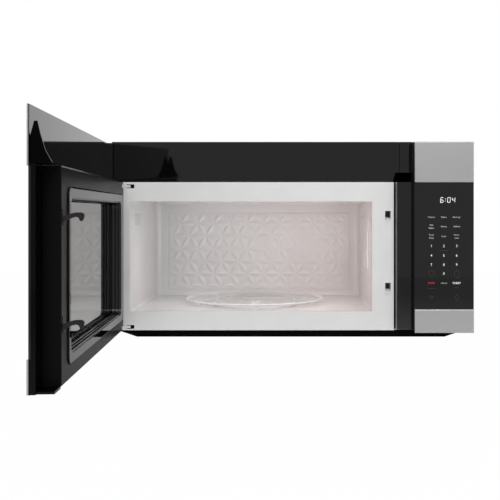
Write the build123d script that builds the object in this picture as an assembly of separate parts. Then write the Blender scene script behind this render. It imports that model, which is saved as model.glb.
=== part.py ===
from build123d import *
import math
import os

# Over the range microwave oven with its door swung open. Millimetres.
# X runs to the right seen from the front, Y from the front skins towards the wall, and
# Z up from the lowest face of the bottom pan. Every piece is modelled there with the door
# shut. Before writing, the door's pieces are turned open about the hinge line, and all
# pieces are moved so that the origin is in the wall plane, at the middle of the rear panel.

# Cabinet
WIDTH = 759.0
DEPTH = 403.0
HEIGHT = 413.5
SHEET = 1.0
FRAME_SHEET = 1.2
GAP = 0.3                     # between pieces that move past each other

# Front skins of the door and of the control panel
SKIN_BOTTOM = 14.0
SKIN_TOP_DROP = 3.1           # below the top of the fascia
PANEL_WIDTH = 122.7
DOOR_GAP = 2.0
BOTTOM_BAND = 48.6
TOP_BAND = 84.5
TRIM_RETURN = 2.8
TRIM_EDGE = 1.5               # rounding of the steel bands
GLASS_SETBACK = 2.8           # glass behind the steel bands
GLASS_THICKNESS = 3.2

# White front frame and the cavity behind it
FRAME_GAP = 4.0               # shut door to the front frame
FRAME_RETURN = 8.0
FRAME_LEFT_MARGIN = 7.5
FRAME_RIGHT_MARGIN = 160.2
FRAME_ABOVE_CAVITY = 40.4
LIP_GAP = 3.2                 # slot between the frame and the lip on its right
LIP_WIDTH = 2.4
LIP_SETBACK = 4.0
CAVITY_LEFT_MARGIN = 38.6
CAVITY_RIGHT_MARGIN = 206.9
CAVITY_FLOOR = 54.0
CAVITY_TOP = 287.4
CAVITY_REAR_GAP = 11.0
CAVITY_CORNER = 3.0
LINER_FLANGE = 6.0
RECESS_DEPTH = 7.0

# Door
FRAME_DEPTH = 12.5            # front assembly of the door, skins included
DOOR_DEPTH = 38.0
INNER_BOTTOM = 16.7
INNER_ABOVE_FRAME = 0.4
OVERHANG = 42.0               # finger pull behind the free edge of the skins
HINGE_IN = 13.9               # hinge line from the left side
HINGE_BACK = 24.9             # hinge line behind the front skins
HINGE_END = 7.0               # inner case beyond the hinge line
DOOR_WALL = 2.5
DOOR_REST = 87.0              # opening angle in which the door is drawn
RING_LEFT = 27.0
RING_RIGHT = 13.4
RING_BOTTOM = 16.0
RING_TOP = 16.9
RING_PROUD = 2.5
RING_LET_IN = 1.4             # depth of the seat round the ring
RING_SEAM = 1.0
RECESS_FREE = 56.0            # window recess from the inner case's free side
RECESS_HINGE = 48.4           # and from its hinge side
WINDOW_BOTTOM = 56.0
WINDOW_TOP_DROP = 45.6        # below the top of the inner case
WINDOW_CORNER = 12.0
PANE_BACK = 20.0
RECESS_STEPS = (8.0, 16.4)    # below the front of the ring
RECESS_STEP = 1.2
SLEEVE = 3.6                  # outside of the recess wall, past the window
PANE_THICKNESS = 3.0
CHOKE_REACH = 25.0
CHOKE_SLOT = 3.0
CHOKE_PITCH = 22.0
LINER_SHEET = 1.2
END_WALL_PAST = 2.0           # end wall of the liner past the back of the door frame
GUSSET_HEIGHT = 58.7
GUSSET_REACH = 23.0           # behind the door frame
GUSSET_TIP = (9.7, 14.0)      # depths of the gusset's narrow top
GUSSET_CUT = 33.8             # height at which its front edge leaves the steel
PULL_FLOOR = 37.0             # depth of the plate that closes the pull at the bottom
PULL_FLOOR_THICKNESS = 3.5
SIDE_GROOVE = (1.5, 4.0)      # depth and width, along the inner case's free side

# Hinges
LEAF = 3.0
LEAF_WIDTH = 12.0
PIN_RADIUS = 3.0
PIN_LENGTH = 17.0
RUNNING = 0.05                # radial clearance of a pin in its bush
BUSH_WALL = 2.0
LOWER_LEAF_Z = 21.0
UPPER_LEAF_DROP = 8.8         # below the top of the front frame
LEAF_POCKET = 4.0
LEAF_ROOT = 26.0              # broad root of the leaf in its slot, past the hinge line
LEAF_SLOT = 34.0

# Latch
HOOK_THICKNESS = 4.0
HOOK_HEIGHT = 17.0
HOOK_REACH = 31.0
HOOK_ARM = 8.8                # height of the arm where it leaves the door
HOOK_RISE = 5.2               # of the arm towards its tip
HOOK_HEAD = 12.2
HOOK_NOTCH = 6.0              # height of the barb
HOOK_FROM_SIDE = 6.8          # hook's centre plane from the inner case's free side
UPPER_HOOK_DROP = 74.2        # below the top of the inner case
LOWER_HOOK_Z = 101.5
LATCH_TRAVEL = 4.0
LATCH_SLOT = (11.7, 25.6)
PLUNGER_RADIUS = 1.5
PLUNGER_TRAVEL = 1.5

# Turntable
TRAY_CLEARANCE = 15.0
TRAY_LIFT = 5.6               # tray's underside above the cavity floor
TRAY_THICKNESS = 3.2
TRAY_RIM = 4.4
ROLLER_RADIUS = 6.0
ROLLER_LENGTH = 6.0
ROLLER_AXLE = 1.5
RING_INSET = 64.4             # ring's rim inside the tray's rim
RECESS_PAST_RING = 33.0
COUPLER_RADIUS = 14.0
MOTOR_SHAFT = 3.0

# Underside
PAN_EDGE = 11.5
PAN_CHAMFER = 42.0
FILTER_SIZE = (195.0, 130.0)
FILTER_THICKNESS = 8.5
FILTER_FROM_WALL = 70.0       # rear edge of the grease filters
FILTER_INSET = 162.5          # centre of each filter from the side
LENS_SIZE = (70.0, 45.0)
LENS_INSET = 204.5
LENS_FROM_FRONT = 98.0

# Top
CASE_DROP = 1.5               # case top below the top of the fascia
FASCIA_SETBACK = 2.5          # behind the front frame
FASCIA_WALL = 3.0
FASCIA_SPLIT = 149.5          # right-hand end of the long fascia from the right side
FASCIA_END_DROP = 65.5
FASCIA_NOTCH = (14.0, 8.0)    # width of the notch at its bottom and at its top
RECESS_BESIDE = 38.0          # depth of the dark recess below the fascia's end piece
GRILLE_FRONT = 64.0
GRILLE_DEPTH = 58.0
GRILLE_SLOTS = 26
OUTLET_SIZE = (258.0, 83.0)
OUTLET_FROM_WALL = 22.0
BOLT_SPREAD = 254.0
BOLT_FROM_FRONT = 150.0
BOLT_HOLE = 2.6
NUT_HEIGHT = 8.0
GLAND_BORE = 5.0
GLAND_INSET = (50.0, 40.0)
SCREW_RADIUS = 3.8
SCREW_HEIGHT = 1.3
SCREW_INSET = 10.0
HANG_SLOT = (44.0, 7.0)
HANG_INSET = 129.5
HANG_Z = 34.0

# Vent blower and cooling fan
SCROLL_WIDTH = 74.0
SCROLL_SPREAD = 95.0
WHEEL_WIDTH = 64.0
BLADES = 24
BLADE_DEPTH = 9.0
SHAFT_RADIUS = 3.0
FAN_RADIUS = 48.0
FAN_BLADES = 5
FAN_SHAFT = 2.5

# Pieces behind the controls, and the pocket beside them
POCKET_Y = 28.0
POCKET_WALL = 2.0
BOARD_Y = 16.0
BOARD_MARGIN = 8.0
DISPLAY_PLACE = (68.0, 36.6)  # from the panel's left side and from the glass's top
CRADLE_BACK = 22.0            # behind the hook tips
CRADLE_MARGIN = 24.0
LEDGE_CLEARANCE = 1.2
CATCH_RISE = 4.8              # of the ramp that each hook rides up
SWITCH_PITCH = 76.0
SPRING_LENGTH = 24.0
POCKET_RAISE = 4.6            # pocket above the bottom of the skins
REAR_RIBS = 5
RIB_WIDTH = 14.0
RIB_DEPTH = 3.0

# Microwave feed on the right-hand wall of the cavity
GUIDE_DEPTH = 30.0
TUBE_FROM_WALL = 199.8
TUBE_DROP = 92.4


def grown(limits, by):
    """Limits moved apart by the same distance at both ends."""
    return (limits[0] - by, limits[1] + by)


def about(centre, size):
    """Limits of a given size about a centre."""
    return (centre - size / 2, centre + size / 2)


# Places worked out from the sizes above
LEFT = -WIDTH / 2
RIGHT = WIDTH / 2
SKIN_TOP = HEIGHT - SKIN_TOP_DROP
PANEL_LEFT = RIGHT - PANEL_WIDTH
DOOR_RIGHT = PANEL_LEFT - DOOR_GAP
GLASS_Z = (SKIN_BOTTOM + BOTTOM_BAND, SKIN_TOP - TOP_BAND)
GLASS_Y = (GLASS_SETBACK, GLASS_SETBACK + GLASS_THICKNESS)
FRAME_Y = DOOR_DEPTH + FRAME_GAP
FRAME_TOP = CAVITY_TOP + FRAME_ABOVE_CAVITY
FRAME_X = (LEFT + FRAME_LEFT_MARGIN, RIGHT - FRAME_RIGHT_MARGIN)
FRAME_Z = (SKIN_BOTTOM, FRAME_TOP)
FRAME_BACK = FRAME_Y + FRAME_SHEET
CAVITY_X = (LEFT + CAVITY_LEFT_MARGIN, RIGHT - CAVITY_RIGHT_MARGIN)
CAVITY_Z = (CAVITY_FLOOR, CAVITY_TOP)
CAVITY_BACK = DEPTH - CAVITY_REAR_GAP
CASE_TOP = HEIGHT - CASE_DROP
CASE_INSIDE = RIGHT - SHEET
FASCIA_Y = FRAME_Y + FASCIA_SETBACK
CASE_FRONT = FASCIA_Y + FASCIA_WALL
REAR_Y = DEPTH - FRAME_SHEET
BASE_TOP = SKIN_BOTTOM + FRAME_SHEET
BASE_FRONT = FRAME_Y + FRAME_RETURN
HINGE_X = LEFT + HINGE_IN
INNER_X = (HINGE_X - HINGE_END, DOOR_RIGHT - OVERHANG)
INNER_Z = (INNER_BOTTOM, FRAME_TOP + INNER_ABOVE_FRAME)
WINDOW_X = (INNER_X[0] + RECESS_HINGE, INNER_X[1] - RECESS_FREE)
WINDOW_Z = (WINDOW_BOTTOM, INNER_Z[1] - WINDOW_TOP_DROP)
RING_X = (WINDOW_X[0] - RING_LEFT, WINDOW_X[1] + RING_RIGHT)
RING_Z = (WINDOW_Z[0] - RING_BOTTOM, WINDOW_Z[1] + RING_TOP)
HOOK_X = INNER_X[1] - HOOK_FROM_SIDE
HOOK_TIP = DOOR_DEPTH + HOOK_REACH
UPPER_HOOK_Z = INNER_Z[1] - UPPER_HOOK_DROP
UPPER_LEAF_Z = FRAME_TOP - UPPER_LEAF_DROP
TABLE = ((CAVITY_X[0] + CAVITY_X[1]) / 2, (FRAME_BACK + CAVITY_BACK) / 2)
TRAY_RADIUS = (CAVITY_BACK - FRAME_BACK) / 2 - TRAY_CLEARANCE
RING_RADIUS = TRAY_RADIUS - RING_INSET
RECESS_RADIUS = RING_RADIUS + RECESS_PAST_RING
TRAY_Z = CAVITY_FLOOR + TRAY_LIFT
RECESS_FLOOR = CAVITY_FLOOR - RECESS_DEPTH
ROLLER_Z = RECESS_FLOOR + GAP + ROLLER_RADIUS
ROLLER_START = RING_RADIUS + 5.0
BAY_LEFT = CAVITY_X[1] + SHEET
LIP_X = (FRAME_X[1] + LIP_GAP, FRAME_X[1] + LIP_GAP + LIP_WIDTH)
LIP_Y = (FRAME_Y + LIP_SETBACK, FRAME_Y + LIP_SETBACK + FRAME_SHEET)
POCKET_X = (LIP_X[1] - 0.4, PANEL_LEFT)
FASCIA_END = HEIGHT - FASCIA_END_DROP
FILTER_Y = DEPTH - FILTER_FROM_WALL - FILTER_SIZE[1] / 2
FILTER_SPREAD = RIGHT - FILTER_INSET
LENS_SPREAD = RIGHT - LENS_INSET
HANG_SPREAD = RIGHT - HANG_INSET
GRILLE_X = (LEFT + 30, RIGHT - FASCIA_SPLIT - 8)
GRILLE_Y = (GRILLE_FRONT, GRILLE_FRONT + GRILLE_DEPTH)
OUTLET_Y = (DEPTH - OUTLET_FROM_WALL - OUTLET_SIZE[1], DEPTH - OUTLET_FROM_WALL)
GLAND = (RIGHT - GLAND_INSET[0], DEPTH - GLAND_INSET[1])
BLOWER_FLOOR = CAVITY_TOP + SHEET
BLOWER_HEIGHT = CASE_TOP - SHEET - BLOWER_FLOOR
SCROLL_RADIUS = BLOWER_HEIGHT / 2 - 3.0
WHEEL_RADIUS = SCROLL_RADIUS - 10.0
BLOWER_Z = BLOWER_FLOOR + BLOWER_HEIGHT / 2
BLOWER_Y = DEPTH - 12.0 - SCROLL_RADIUS
BOARD_Z = grown(GLASS_Z, -BOARD_MARGIN)
DISPLAY_X = PANEL_LEFT + DISPLAY_PLACE[0]
DISPLAY_Z = GLASS_Z[1] - DISPLAY_PLACE[1]
CRADLE_Z = (LOWER_HOOK_Z - CRADLE_MARGIN, UPPER_HOOK_Z + CRADLE_MARGIN)
LATCH_BAR_Z = (LOWER_HOOK_Z - 16, UPPER_HOOK_Z + 20)
LINER_BOTTOM = INNER_Z[1] + 0.6
GUIDE_X = (BAY_LEFT, BAY_LEFT + GUIDE_DEPTH)
TUBE_Y = DEPTH - TUBE_FROM_WALL
TUBE_Z = CAVITY_TOP - TUBE_DROP
GUIDE_Y = about(TUBE_Y, 96)
GUIDE_Z = about(TUBE_Z, 80)
LAMP = (BAY_LEFT, TUBE_Y + 84, CAVITY_TOP - 37.4)
FAN = (BAY_LEFT + 101.4, DEPTH - 60.0, TUBE_Z - 15)
ORIGIN_Z = HEIGHT / 2


def block(x, y, z):
    """A box between two limits along each axis."""
    centre = [(limits[0] + limits[1]) / 2 for limits in (x, y, z)]
    sizes = [limits[1] - limits[0] for limits in (x, y, z)]
    return Pos(*centre) * Box(*sizes)


def panel(x, y, z, radius):
    """A plate facing the front, with rounded corners."""
    face = Plane(((x[0] + x[1]) / 2, y[1], (z[0] + z[1]) / 2), x_dir=(1, 0, 0), z_dir=(0, -1, 0))
    return extrude(face * RectangleRounded(x[1] - x[0], z[1] - z[0], radius), amount=y[1] - y[0])


def drum(start, axis, radius, length):
    """A cylinder that starts at a point and runs along an axis."""
    ends = (Align.CENTER, Align.CENTER, Align.MIN)
    return Plane(origin=start, z_dir=axis) * Cylinder(radius, length, align=ends)


def profile_along_x(points, x):
    """A YZ outline extruded between two X limits."""
    outline = make_face(Polyline(*points, close=True))
    return extrude(Plane.YZ.offset(x[0]) * outline, amount=x[1] - x[0])


def profile_along_y(points, y):
    """An XZ outline extruded between two Y limits."""
    outline = make_face(Polyline(*points, close=True))
    return extrude(Plane.XZ.offset(-y[1]) * outline, amount=y[1] - y[0])


def spread(first, last, count):
    """Evenly spaced places, both ends included."""
    step = (last - first) / (count - 1)
    return [first + step * index for index in range(count)]


# Cabinet ---------------------------------------------------------------------------------

def front_frame():
    """White pressed frame round the cavity mouth, with latch and hinge slots and a side lip."""
    y = (FRAME_Y, FRAME_Y + FRAME_RETURN)
    inside = block(grown(FRAME_X, -FRAME_SHEET), (FRAME_BACK, y[1] + 1), grown(FRAME_Z, -FRAME_SHEET))
    frame = block(FRAME_X, y, FRAME_Z) - inside
    frame -= panel(CAVITY_X, (FRAME_Y - 1, FRAME_BACK + 1), CAVITY_Z, CAVITY_CORNER)
    through = (FRAME_Y - 1, FRAME_BACK + 1)
    for z in (UPPER_HOOK_Z, LOWER_HOOK_Z):
        frame -= panel(about(HOOK_X, LATCH_SLOT[0]), through, about(z, LATCH_SLOT[1]), 1.5)
    for z in (UPPER_LEAF_Z, LOWER_LEAF_Z):
        slot_x = (FRAME_X[0] - 1, HINGE_X + LEAF_SLOT)
        frame -= block(slot_x, (FRAME_Y - 1, FRAME_Y + FRAME_RETURN + 1), about(z, 2 * LEAF_POCKET))
    frame += block(LIP_X, LIP_Y, FRAME_Z)
    return frame + block((FRAME_X[1] - FRAME_SHEET, LIP_X[1]), LIP_Y, (FRAME_Z[0], FRAME_Z[0] + LIP_WIDTH))


def cavity_liner():
    """Painted oven cavity with rounded edges, a turned-out flange and a floor recess."""
    outer_y = (FRAME_BACK, CAVITY_BACK + SHEET)
    outer = panel(grown(CAVITY_X, SHEET), outer_y, grown(CAVITY_Z, SHEET), CAVITY_CORNER + SHEET)
    outer = fillet(outer.faces().sort_by(Axis.Y)[-1].edges(), CAVITY_CORNER + SHEET)
    flange = grown(CAVITY_X, LINER_FLANGE), (FRAME_BACK, FRAME_BACK + SHEET), grown(CAVITY_Z, LINER_FLANGE)
    outer += panel(*flange, CAVITY_CORNER + LINER_FLANGE)
    outer += drum((*TABLE, RECESS_FLOOR - SHEET), (0, 0, 1), RECESS_RADIUS + SHEET, RECESS_DEPTH)
    inner = panel(CAVITY_X, (FRAME_Y - 1, CAVITY_BACK), CAVITY_Z, CAVITY_CORNER)
    inner = fillet(inner.faces().sort_by(Axis.Y)[-1].edges(), CAVITY_CORNER)
    inner += drum((*TABLE, RECESS_FLOOR), (0, 0, 1), RECESS_RADIUS, RECESS_DEPTH + SHEET)
    liner = outer - inner
    liner -= drum((*TABLE, RECESS_FLOOR - 2), (0, 0, 1), MOTOR_SHAFT + 4, 4)
    wall = (CAVITY_X[1] - 1, CAVITY_X[1] + SHEET + 1)
    liner -= block(wall, about(TUBE_Y, 80), about(TUBE_Z - 18, 30))
    for z in spread(LAMP[2] - 15, LAMP[2] + 15, 5):
        liner -= block(wall, about(LAMP[1], 28), about(z, 2.4))
    left_wall = (CAVITY_X[0] - SHEET - 1, CAVITY_X[0] + 1)
    for y in spread(FRAME_BACK + 60, FRAME_BACK + 120, 7):
        liner -= block(left_wall, about(y, 3), (CAVITY_TOP - 52.4, CAVITY_TOP - 25.4))
    return liner


def chassis_base():
    """Steel floor of the cabinet with openings over the filters and lamps."""
    base = block((-CASE_INSIDE, CASE_INSIDE), (BASE_FRONT, REAR_Y), (SKIN_BOTTOM, BASE_TOP))
    through = (SKIN_BOTTOM - 1, BASE_TOP + 1)
    for side in (-1, 1):
        centre = side * FILTER_SPREAD
        base -= block(about(centre, FILTER_SIZE[0] - 16), about(FILTER_Y, FILTER_SIZE[1] - 16), through)
    return base


def pan_profile(inset):
    """Outline of the bottom pan, moved in by a wall thickness."""
    slope = math.hypot(PAN_CHAMFER, SKIN_BOTTOM) / SKIN_BOTTOM * inset
    top = RIGHT - PAN_EDGE - slope
    bottom = top - PAN_CHAMFER * (SKIN_BOTTOM - inset) / SKIN_BOTTOM
    return [(-top, SKIN_BOTTOM), (-bottom, inset), (bottom, inset), (top, SKIN_BOTTOM)]


def bottom_pan():
    """Black tray below the chassis with chamfered ends, filter openings and lamp openings."""
    y = (FRAME_Y + 2, DEPTH - 5)
    pan = profile_along_y(pan_profile(0), y) - profile_along_y(pan_profile(SHEET), grown(y, -SHEET))
    through = (-1, SHEET + 0.5)
    for side in (-1, 1):
        opening = (about(side * FILTER_SPREAD, FILTER_SIZE[0] - 8), about(FILTER_Y, FILTER_SIZE[1] - 8))
        pan -= block(*opening, through)
        lamp = (about(side * LENS_SPREAD, LENS_SIZE[0] - 8), about(LENS_FROM_FRONT, LENS_SIZE[1] - 8))
        pan -= block(*lamp, through)
    for x in spread(-60, 60, 13):
        pan -= block(about(x, 4), about(LENS_FROM_FRONT, 40), through)
    return pan


def grease_filter(side):
    """Washable filter: a channel rim round a thin mesh core, with a pull ring."""
    centre = side * FILTER_SPREAD
    x = about(centre, FILTER_SIZE[0])
    y = about(FILTER_Y, FILTER_SIZE[1])
    z = (SHEET, SHEET + FILTER_THICKNESS)
    body = block(x, y, z)
    body -= block(grown(x, -9), grown(y, -9), (z[0] - 1, z[0] + 2))
    body -= block(grown(x, -9), grown(y, -9), (z[1] - 2, z[1] + 1))
    ring = Pos(centre, FILTER_Y - FILTER_SIZE[1] / 2 + 24, z[0] - 0.6) * Cylinder(9, 5.2)
    ring -= Pos(centre, FILTER_Y - FILTER_SIZE[1] / 2 + 24, z[0] - 1.6) * Cylinder(6, 5.2)
    return body + ring


def outer_case():
    """Wrap-round steel case: top and both sides, with weld nuts for the cabinet bolts."""
    case = block((LEFT, RIGHT), (CASE_FRONT, REAR_Y), (SKIN_BOTTOM, CASE_TOP))
    long_edges = case.edges().filter_by(Axis.Y).group_by(Axis.Z)[-1]
    case = fillet(long_edges, 4)
    inside = block((-CASE_INSIDE, CASE_INSIDE), (CASE_FRONT - 1, REAR_Y + 1), (0, CASE_TOP - SHEET))
    case -= fillet(inside.edges().filter_by(Axis.Y).group_by(Axis.Z)[-1], 3)
    case += block((-CASE_INSIDE, -CASE_INSIDE + 6), (CASE_FRONT, CASE_FRONT + SHEET), FRAME_Z)
    for side in (-1, 1):
        place = (side * BOLT_SPREAD, BOLT_FROM_FRONT, CASE_TOP - SHEET - NUT_HEIGHT)
        case += drum(place, (0, 0, 1), 7, NUT_HEIGHT)
        case -= drum((place[0], place[1], place[2] - 1), (0, 0, 1), BOLT_HOLE, NUT_HEIGHT + SHEET + 2)
    through = (CASE_TOP - 2, CASE_TOP + 1)
    case -= block(grown(GRILLE_X, -5), grown(GRILLE_Y, -5), through)
    case -= block(about(0, OUTLET_SIZE[0]), OUTLET_Y, through)
    case -= drum((*GLAND, CASE_TOP - 4), (0, 0, 1), GLAND_BORE + 4, 6)
    return case


def rear_panel():
    """Rear sheet against the wall, with two hanging slots and stiffening ribs pressed inwards."""
    rear = block((LEFT, RIGHT), (REAR_Y, DEPTH), (SKIN_BOTTOM, CASE_TOP))
    height = (HANG_Z + 2 * RIB_WIDTH, CASE_TOP - 2 * RIB_WIDTH)
    for x in spread(-BOLT_SPREAD, BOLT_SPREAD, REAR_RIBS):
        rear += block(about(x, RIB_WIDTH), (REAR_Y - RIB_DEPTH, REAR_Y), height)
        inside = grown(about(x, RIB_WIDTH), -FRAME_SHEET), grown(height, -FRAME_SHEET)
        rear -= block(inside[0], (REAR_Y - RIB_DEPTH + FRAME_SHEET, DEPTH + 1), inside[1])
    for side in (-1, 1):
        slot = about(side * HANG_SPREAD, HANG_SLOT[0])
        rear -= block(slot, (REAR_Y - 1, DEPTH + 1), about(HANG_Z, HANG_SLOT[1]))
    return rear


def vent_fascia():
    """Glossy black fascia above the cavity: front wall and a flange over the case top."""
    end = RIGHT - FASCIA_SPLIT
    notch = [
        (end - FASCIA_NOTCH[0], FRAME_TOP - 1),
        (end + 1, FRAME_TOP - 1),
        (end + 1, FASCIA_END),
        (end - FASCIA_NOTCH[1], FASCIA_END),
    ]
    return fascia_piece((LEFT, end), FRAME_TOP) - profile_along_y(notch, (FASCIA_Y - 1, CASE_FRONT + 1))


def fascia_end():
    """Short right-hand piece of the fascia beside the control panel."""
    return fascia_piece((RIGHT - FASCIA_SPLIT + 1, PANEL_LEFT), FASCIA_END)


def fascia_piece(x, bottom):
    """Fascia section between two sides, with a rounded top front edge."""
    wall = block(x, (FASCIA_Y, CASE_FRONT), (bottom, HEIGHT))
    wall += block(x, (FASCIA_Y, GRILLE_FRONT - 1), (CASE_TOP, HEIGHT))
    front_top = wall.edges().filter_by(Axis.X).sort_by(Axis.Z)[-2:].sort_by(Axis.Y)[0]
    return fillet(front_top, 1.2)


def vent_grille():
    """Louvred outlet grille lying in the case top behind the fascia."""
    grille = block(GRILLE_X, GRILLE_Y, (CASE_TOP, HEIGHT))
    skirt = block(grown(GRILLE_X, -5), grown(GRILLE_Y, -5), (CASE_TOP - 6, CASE_TOP))
    skirt -= block(grown(GRILLE_X, -7), grown(GRILLE_Y, -7), (CASE_TOP - 7, CASE_TOP + 1))
    grille += skirt
    middle = (GRILLE_Y[0] + GRILLE_Y[1]) / 2
    for x in spread(GRILLE_X[0] + 18, GRILLE_X[1] - 18, GRILLE_SLOTS):
        for y in ((GRILLE_Y[0] + 9, middle - 2), (middle + 2, GRILLE_Y[1] - 9)):
            grille -= block(about(x, 12), y, (CASE_TOP - 1, HEIGHT + 1))
    return grille


def charcoal_filter():
    """Charcoal pad in its tray below the grille."""
    top = CASE_TOP - 6 - GAP
    tray = block(about(-62, 300), (GRILLE_FRONT - 2, GRILLE_FRONT + GRILLE_DEPTH + 2), (top - 14, top))
    ears = block(about(-62, 24), (GRILLE_FRONT - 8, GRILLE_FRONT - 2), (top - 4, CASE_TOP - SHEET))
    ears += block(about(-62, 24), (GRILLE_Y[1] + 2, GRILLE_Y[1] + 8), (top - 4, CASE_TOP - SHEET))
    return tray + ears


def cord_gland():
    """Bush in the case top that the supply cord would pass through."""
    gland = drum((*GLAND, CASE_TOP - 10), (0, 0, 1), GLAND_BORE + 4, 10)
    gland += drum((*GLAND, CASE_TOP), (0, 0, 1), GLAND_BORE + 7, CASE_DROP)
    return gland - drum((*GLAND, CASE_TOP - 11), (0, 0, 1), GLAND_BORE, 14)


def case_screws():
    """Heads of the screws that hold the case, on its top."""
    rear = [(x, DEPTH - SCREW_INSET) for x in (LEFT + 30, -40, 40, RIGHT - 20)]
    sides = [(x, BOLT_FROM_FRONT + 60) for x in (LEFT + 16, RIGHT - 16)]
    return [drum((x, y, CASE_TOP), (0, 0, 1), SCREW_RADIUS, SCREW_HEIGHT) for x, y in rear + sides]


# Control panel ---------------------------------------------------------------------------

def control_frame():
    """Moulded housing of the controls, open at the back, with bosses for the board."""
    x = (PANEL_LEFT, RIGHT)
    z = (SKIN_BOTTOM, SKIN_TOP)
    frame = block(x, (GLASS_Y[1], CASE_FRONT), z)
    wall = DOOR_WALL
    frame -= block(grown(x, -wall), (GLASS_Y[1] + wall, CASE_FRONT + 1), grown(z, -wall))
    for band in ((z[0], GLASS_Z[0]), (GLASS_Z[1], z[1])):
        frame += band_backing(x, band)
    for boss_x in (x[0] + 18, x[1] - 18):
        for boss_z in (BOARD_Z[0] + 8, BOARD_Z[1] - 8):
            frame += drum((boss_x, GLASS_Y[1] + 2, boss_z), (0, 1, 0), 3.5, BOARD_Y - GLASS_Y[1] - 2)
    return frame - block(about(DISPLAY_X, 52), (GLASS_Y[1] - 1, GLASS_Y[1] + 4), about(DISPLAY_Z, 22))


def trim(x, z):
    """Steel skin with its edges folded back."""
    skin = block(x, (0, TRIM_RETURN), z)
    skin = fillet(skin.faces().sort_by(Axis.Y)[0].edges(), TRIM_EDGE)
    return skin - block(grown(x, -SHEET), (SHEET, TRIM_RETURN + 1), grown(z, -SHEET))


def band_backing(x, z):
    """Moulding that fills a steel band from behind."""
    core = block(grown(x, -SHEET), (SHEET, TRIM_RETURN), grown(z, -SHEET))
    return core + block(grown(x, -0.2), (TRIM_RETURN, GLASS_Y[1]), z)


def touch_glass(x):
    """Black glass between the two steel bands."""
    return block(x, GLASS_Y, GLASS_Z)


def control_board():
    """Board behind the touch glass with its relays, a connector and the clock display."""
    x = (PANEL_LEFT + 10, RIGHT - 10)
    board = block(x, (BOARD_Y, BOARD_Y + 1.6), BOARD_Z)
    for place in spread(BOARD_Z[0] + 40, BOARD_Z[1] - 60, 4):
        board += block((x[0] + 14, x[0] + 32), (BOARD_Y + 1.6, BOARD_Y + 17), about(place, 22))
    board += block((x[1] - 40, x[1] - 10), (BOARD_Y + 1.6, BOARD_Y + 24), about(BOARD_Z[0] + 40, 44))
    return board + block(about(DISPLAY_X, 50), (GLASS_Y[1], BOARD_Y), about(DISPLAY_Z, 20))


def pocket_panel():
    """Black lining of the finger pocket, with the dark recess above it."""
    wall = POCKET_WALL
    z = (SKIN_BOTTOM + POCKET_RAISE, FRAME_TOP - 0.4)
    lining = block(POCKET_X, (POCKET_Y, POCKET_Y + wall), z)
    lining += block((POCKET_X[0], POCKET_X[0] + wall), (POCKET_Y, LIP_Y[0]), z)
    lining += block(POCKET_X, (POCKET_Y, CASE_FRONT + RECESS_BESIDE), (z[1] - wall, z[1]))
    lining += block(POCKET_X, (POCKET_Y, BASE_FRONT), (z[0], z[0] + wall))
    recess_x = (RIGHT - FASCIA_SPLIT - FASCIA_NOTCH[0] - 2, PANEL_LEFT)
    recess_y = (BASE_FRONT + GAP, CASE_FRONT + RECESS_BESIDE)
    recess_z = (z[1] - wall, FASCIA_END + 3 * wall)
    recess = block(recess_x, recess_y, recess_z)
    return lining + recess - block(grown(recess_x, -wall), (0, recess_y[1] - wall), (z[1], recess_z[1] - wall))


# Latch cradle and switches -----------------------------------------------------------------

def latch_cradle():
    """Moulded cradle behind the latch slots, with a ledge for each hook to drop behind."""
    side_x = (HOOK_X + LATCH_SLOT[0] / 2, HOOK_X + LATCH_SLOT[0] / 2 + 2.5)
    cradle = block(side_x, (FRAME_BACK, HOOK_TIP + CRADLE_BACK), CRADLE_Z)
    cradle += block((side_x[0], FRAME_X[1] - 2), (FRAME_BACK, FRAME_BACK + 2), CRADLE_Z)
    for z in (UPPER_HOOK_Z, LOWER_HOOK_Z):
        low = z - HOOK_HEIGHT / 2 - LEDGE_CLEARANCE
        ledge_x = (HOOK_X - LATCH_SLOT[0] / 2, side_x[0])
        cradle += block(ledge_x, (FRAME_BACK + 1, HOOK_TIP - 1), (low - 3, low))
        catch_top = z + HOOK_HEIGHT / 2 - HOOK_HEAD + HOOK_NOTCH / 2
        catch = [
            (FRAME_BACK + 1, low),
            (FRAME_BACK + 1, catch_top - CATCH_RISE),
            (HOOK_TIP - 15, catch_top),
            (HOOK_TIP - 9.5, catch_top),
            (HOOK_TIP - 9.5, low),
        ]
        cradle += profile_along_x(catch, ledge_x)
        cradle += block(ledge_x, (FRAME_BACK + 1, HOOK_TIP - 1), about(z + HOOK_HEIGHT / 2 + 9, 2))
    return cradle


def switch_places():
    """Plunger start, direction and switch box for the three door switches."""
    places = {}
    for name, z in (("upper", UPPER_HOOK_Z), ("lower", LOWER_HOOK_Z)):
        start = (HOOK_X, HOOK_TIP + 2 * GAP, z)
        places[name] = (start, (0, 1, 0))
    middle = (HOOK_X, HOOK_TIP + 2 * GAP, LOWER_HOOK_Z + SWITCH_PITCH)
    places["middle"] = (middle, (0, 1, 0))
    return places


def door_switches():
    """Three switch bodies fixed to the cradle, each bored for its plunger."""
    bodies = []
    for start, axis in switch_places().values():
        y = (start[1] + PLUNGER_TRAVEL + 1.5, start[1] + 18)
        x = (HOOK_X - LATCH_SLOT[0] / 2, HOOK_X + LATCH_SLOT[0] / 2)
        body = block(x, y, about(start[2], 20))
        hole = drum((start[0], y[0] - 1, start[2]), axis, PLUNGER_RADIUS + RUNNING, 12)
        bodies.append(body - hole)
    return bodies


def plunger(name):
    """Round switch plunger with a domed end."""
    start, axis = switch_places()[name]
    body = drum(start, axis, PLUNGER_RADIUS, 10)
    return fillet(body.edges().sort_by(Axis.Y)[0], 0.8)


# Microwave generator and supply ------------------------------------------------------------

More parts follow.
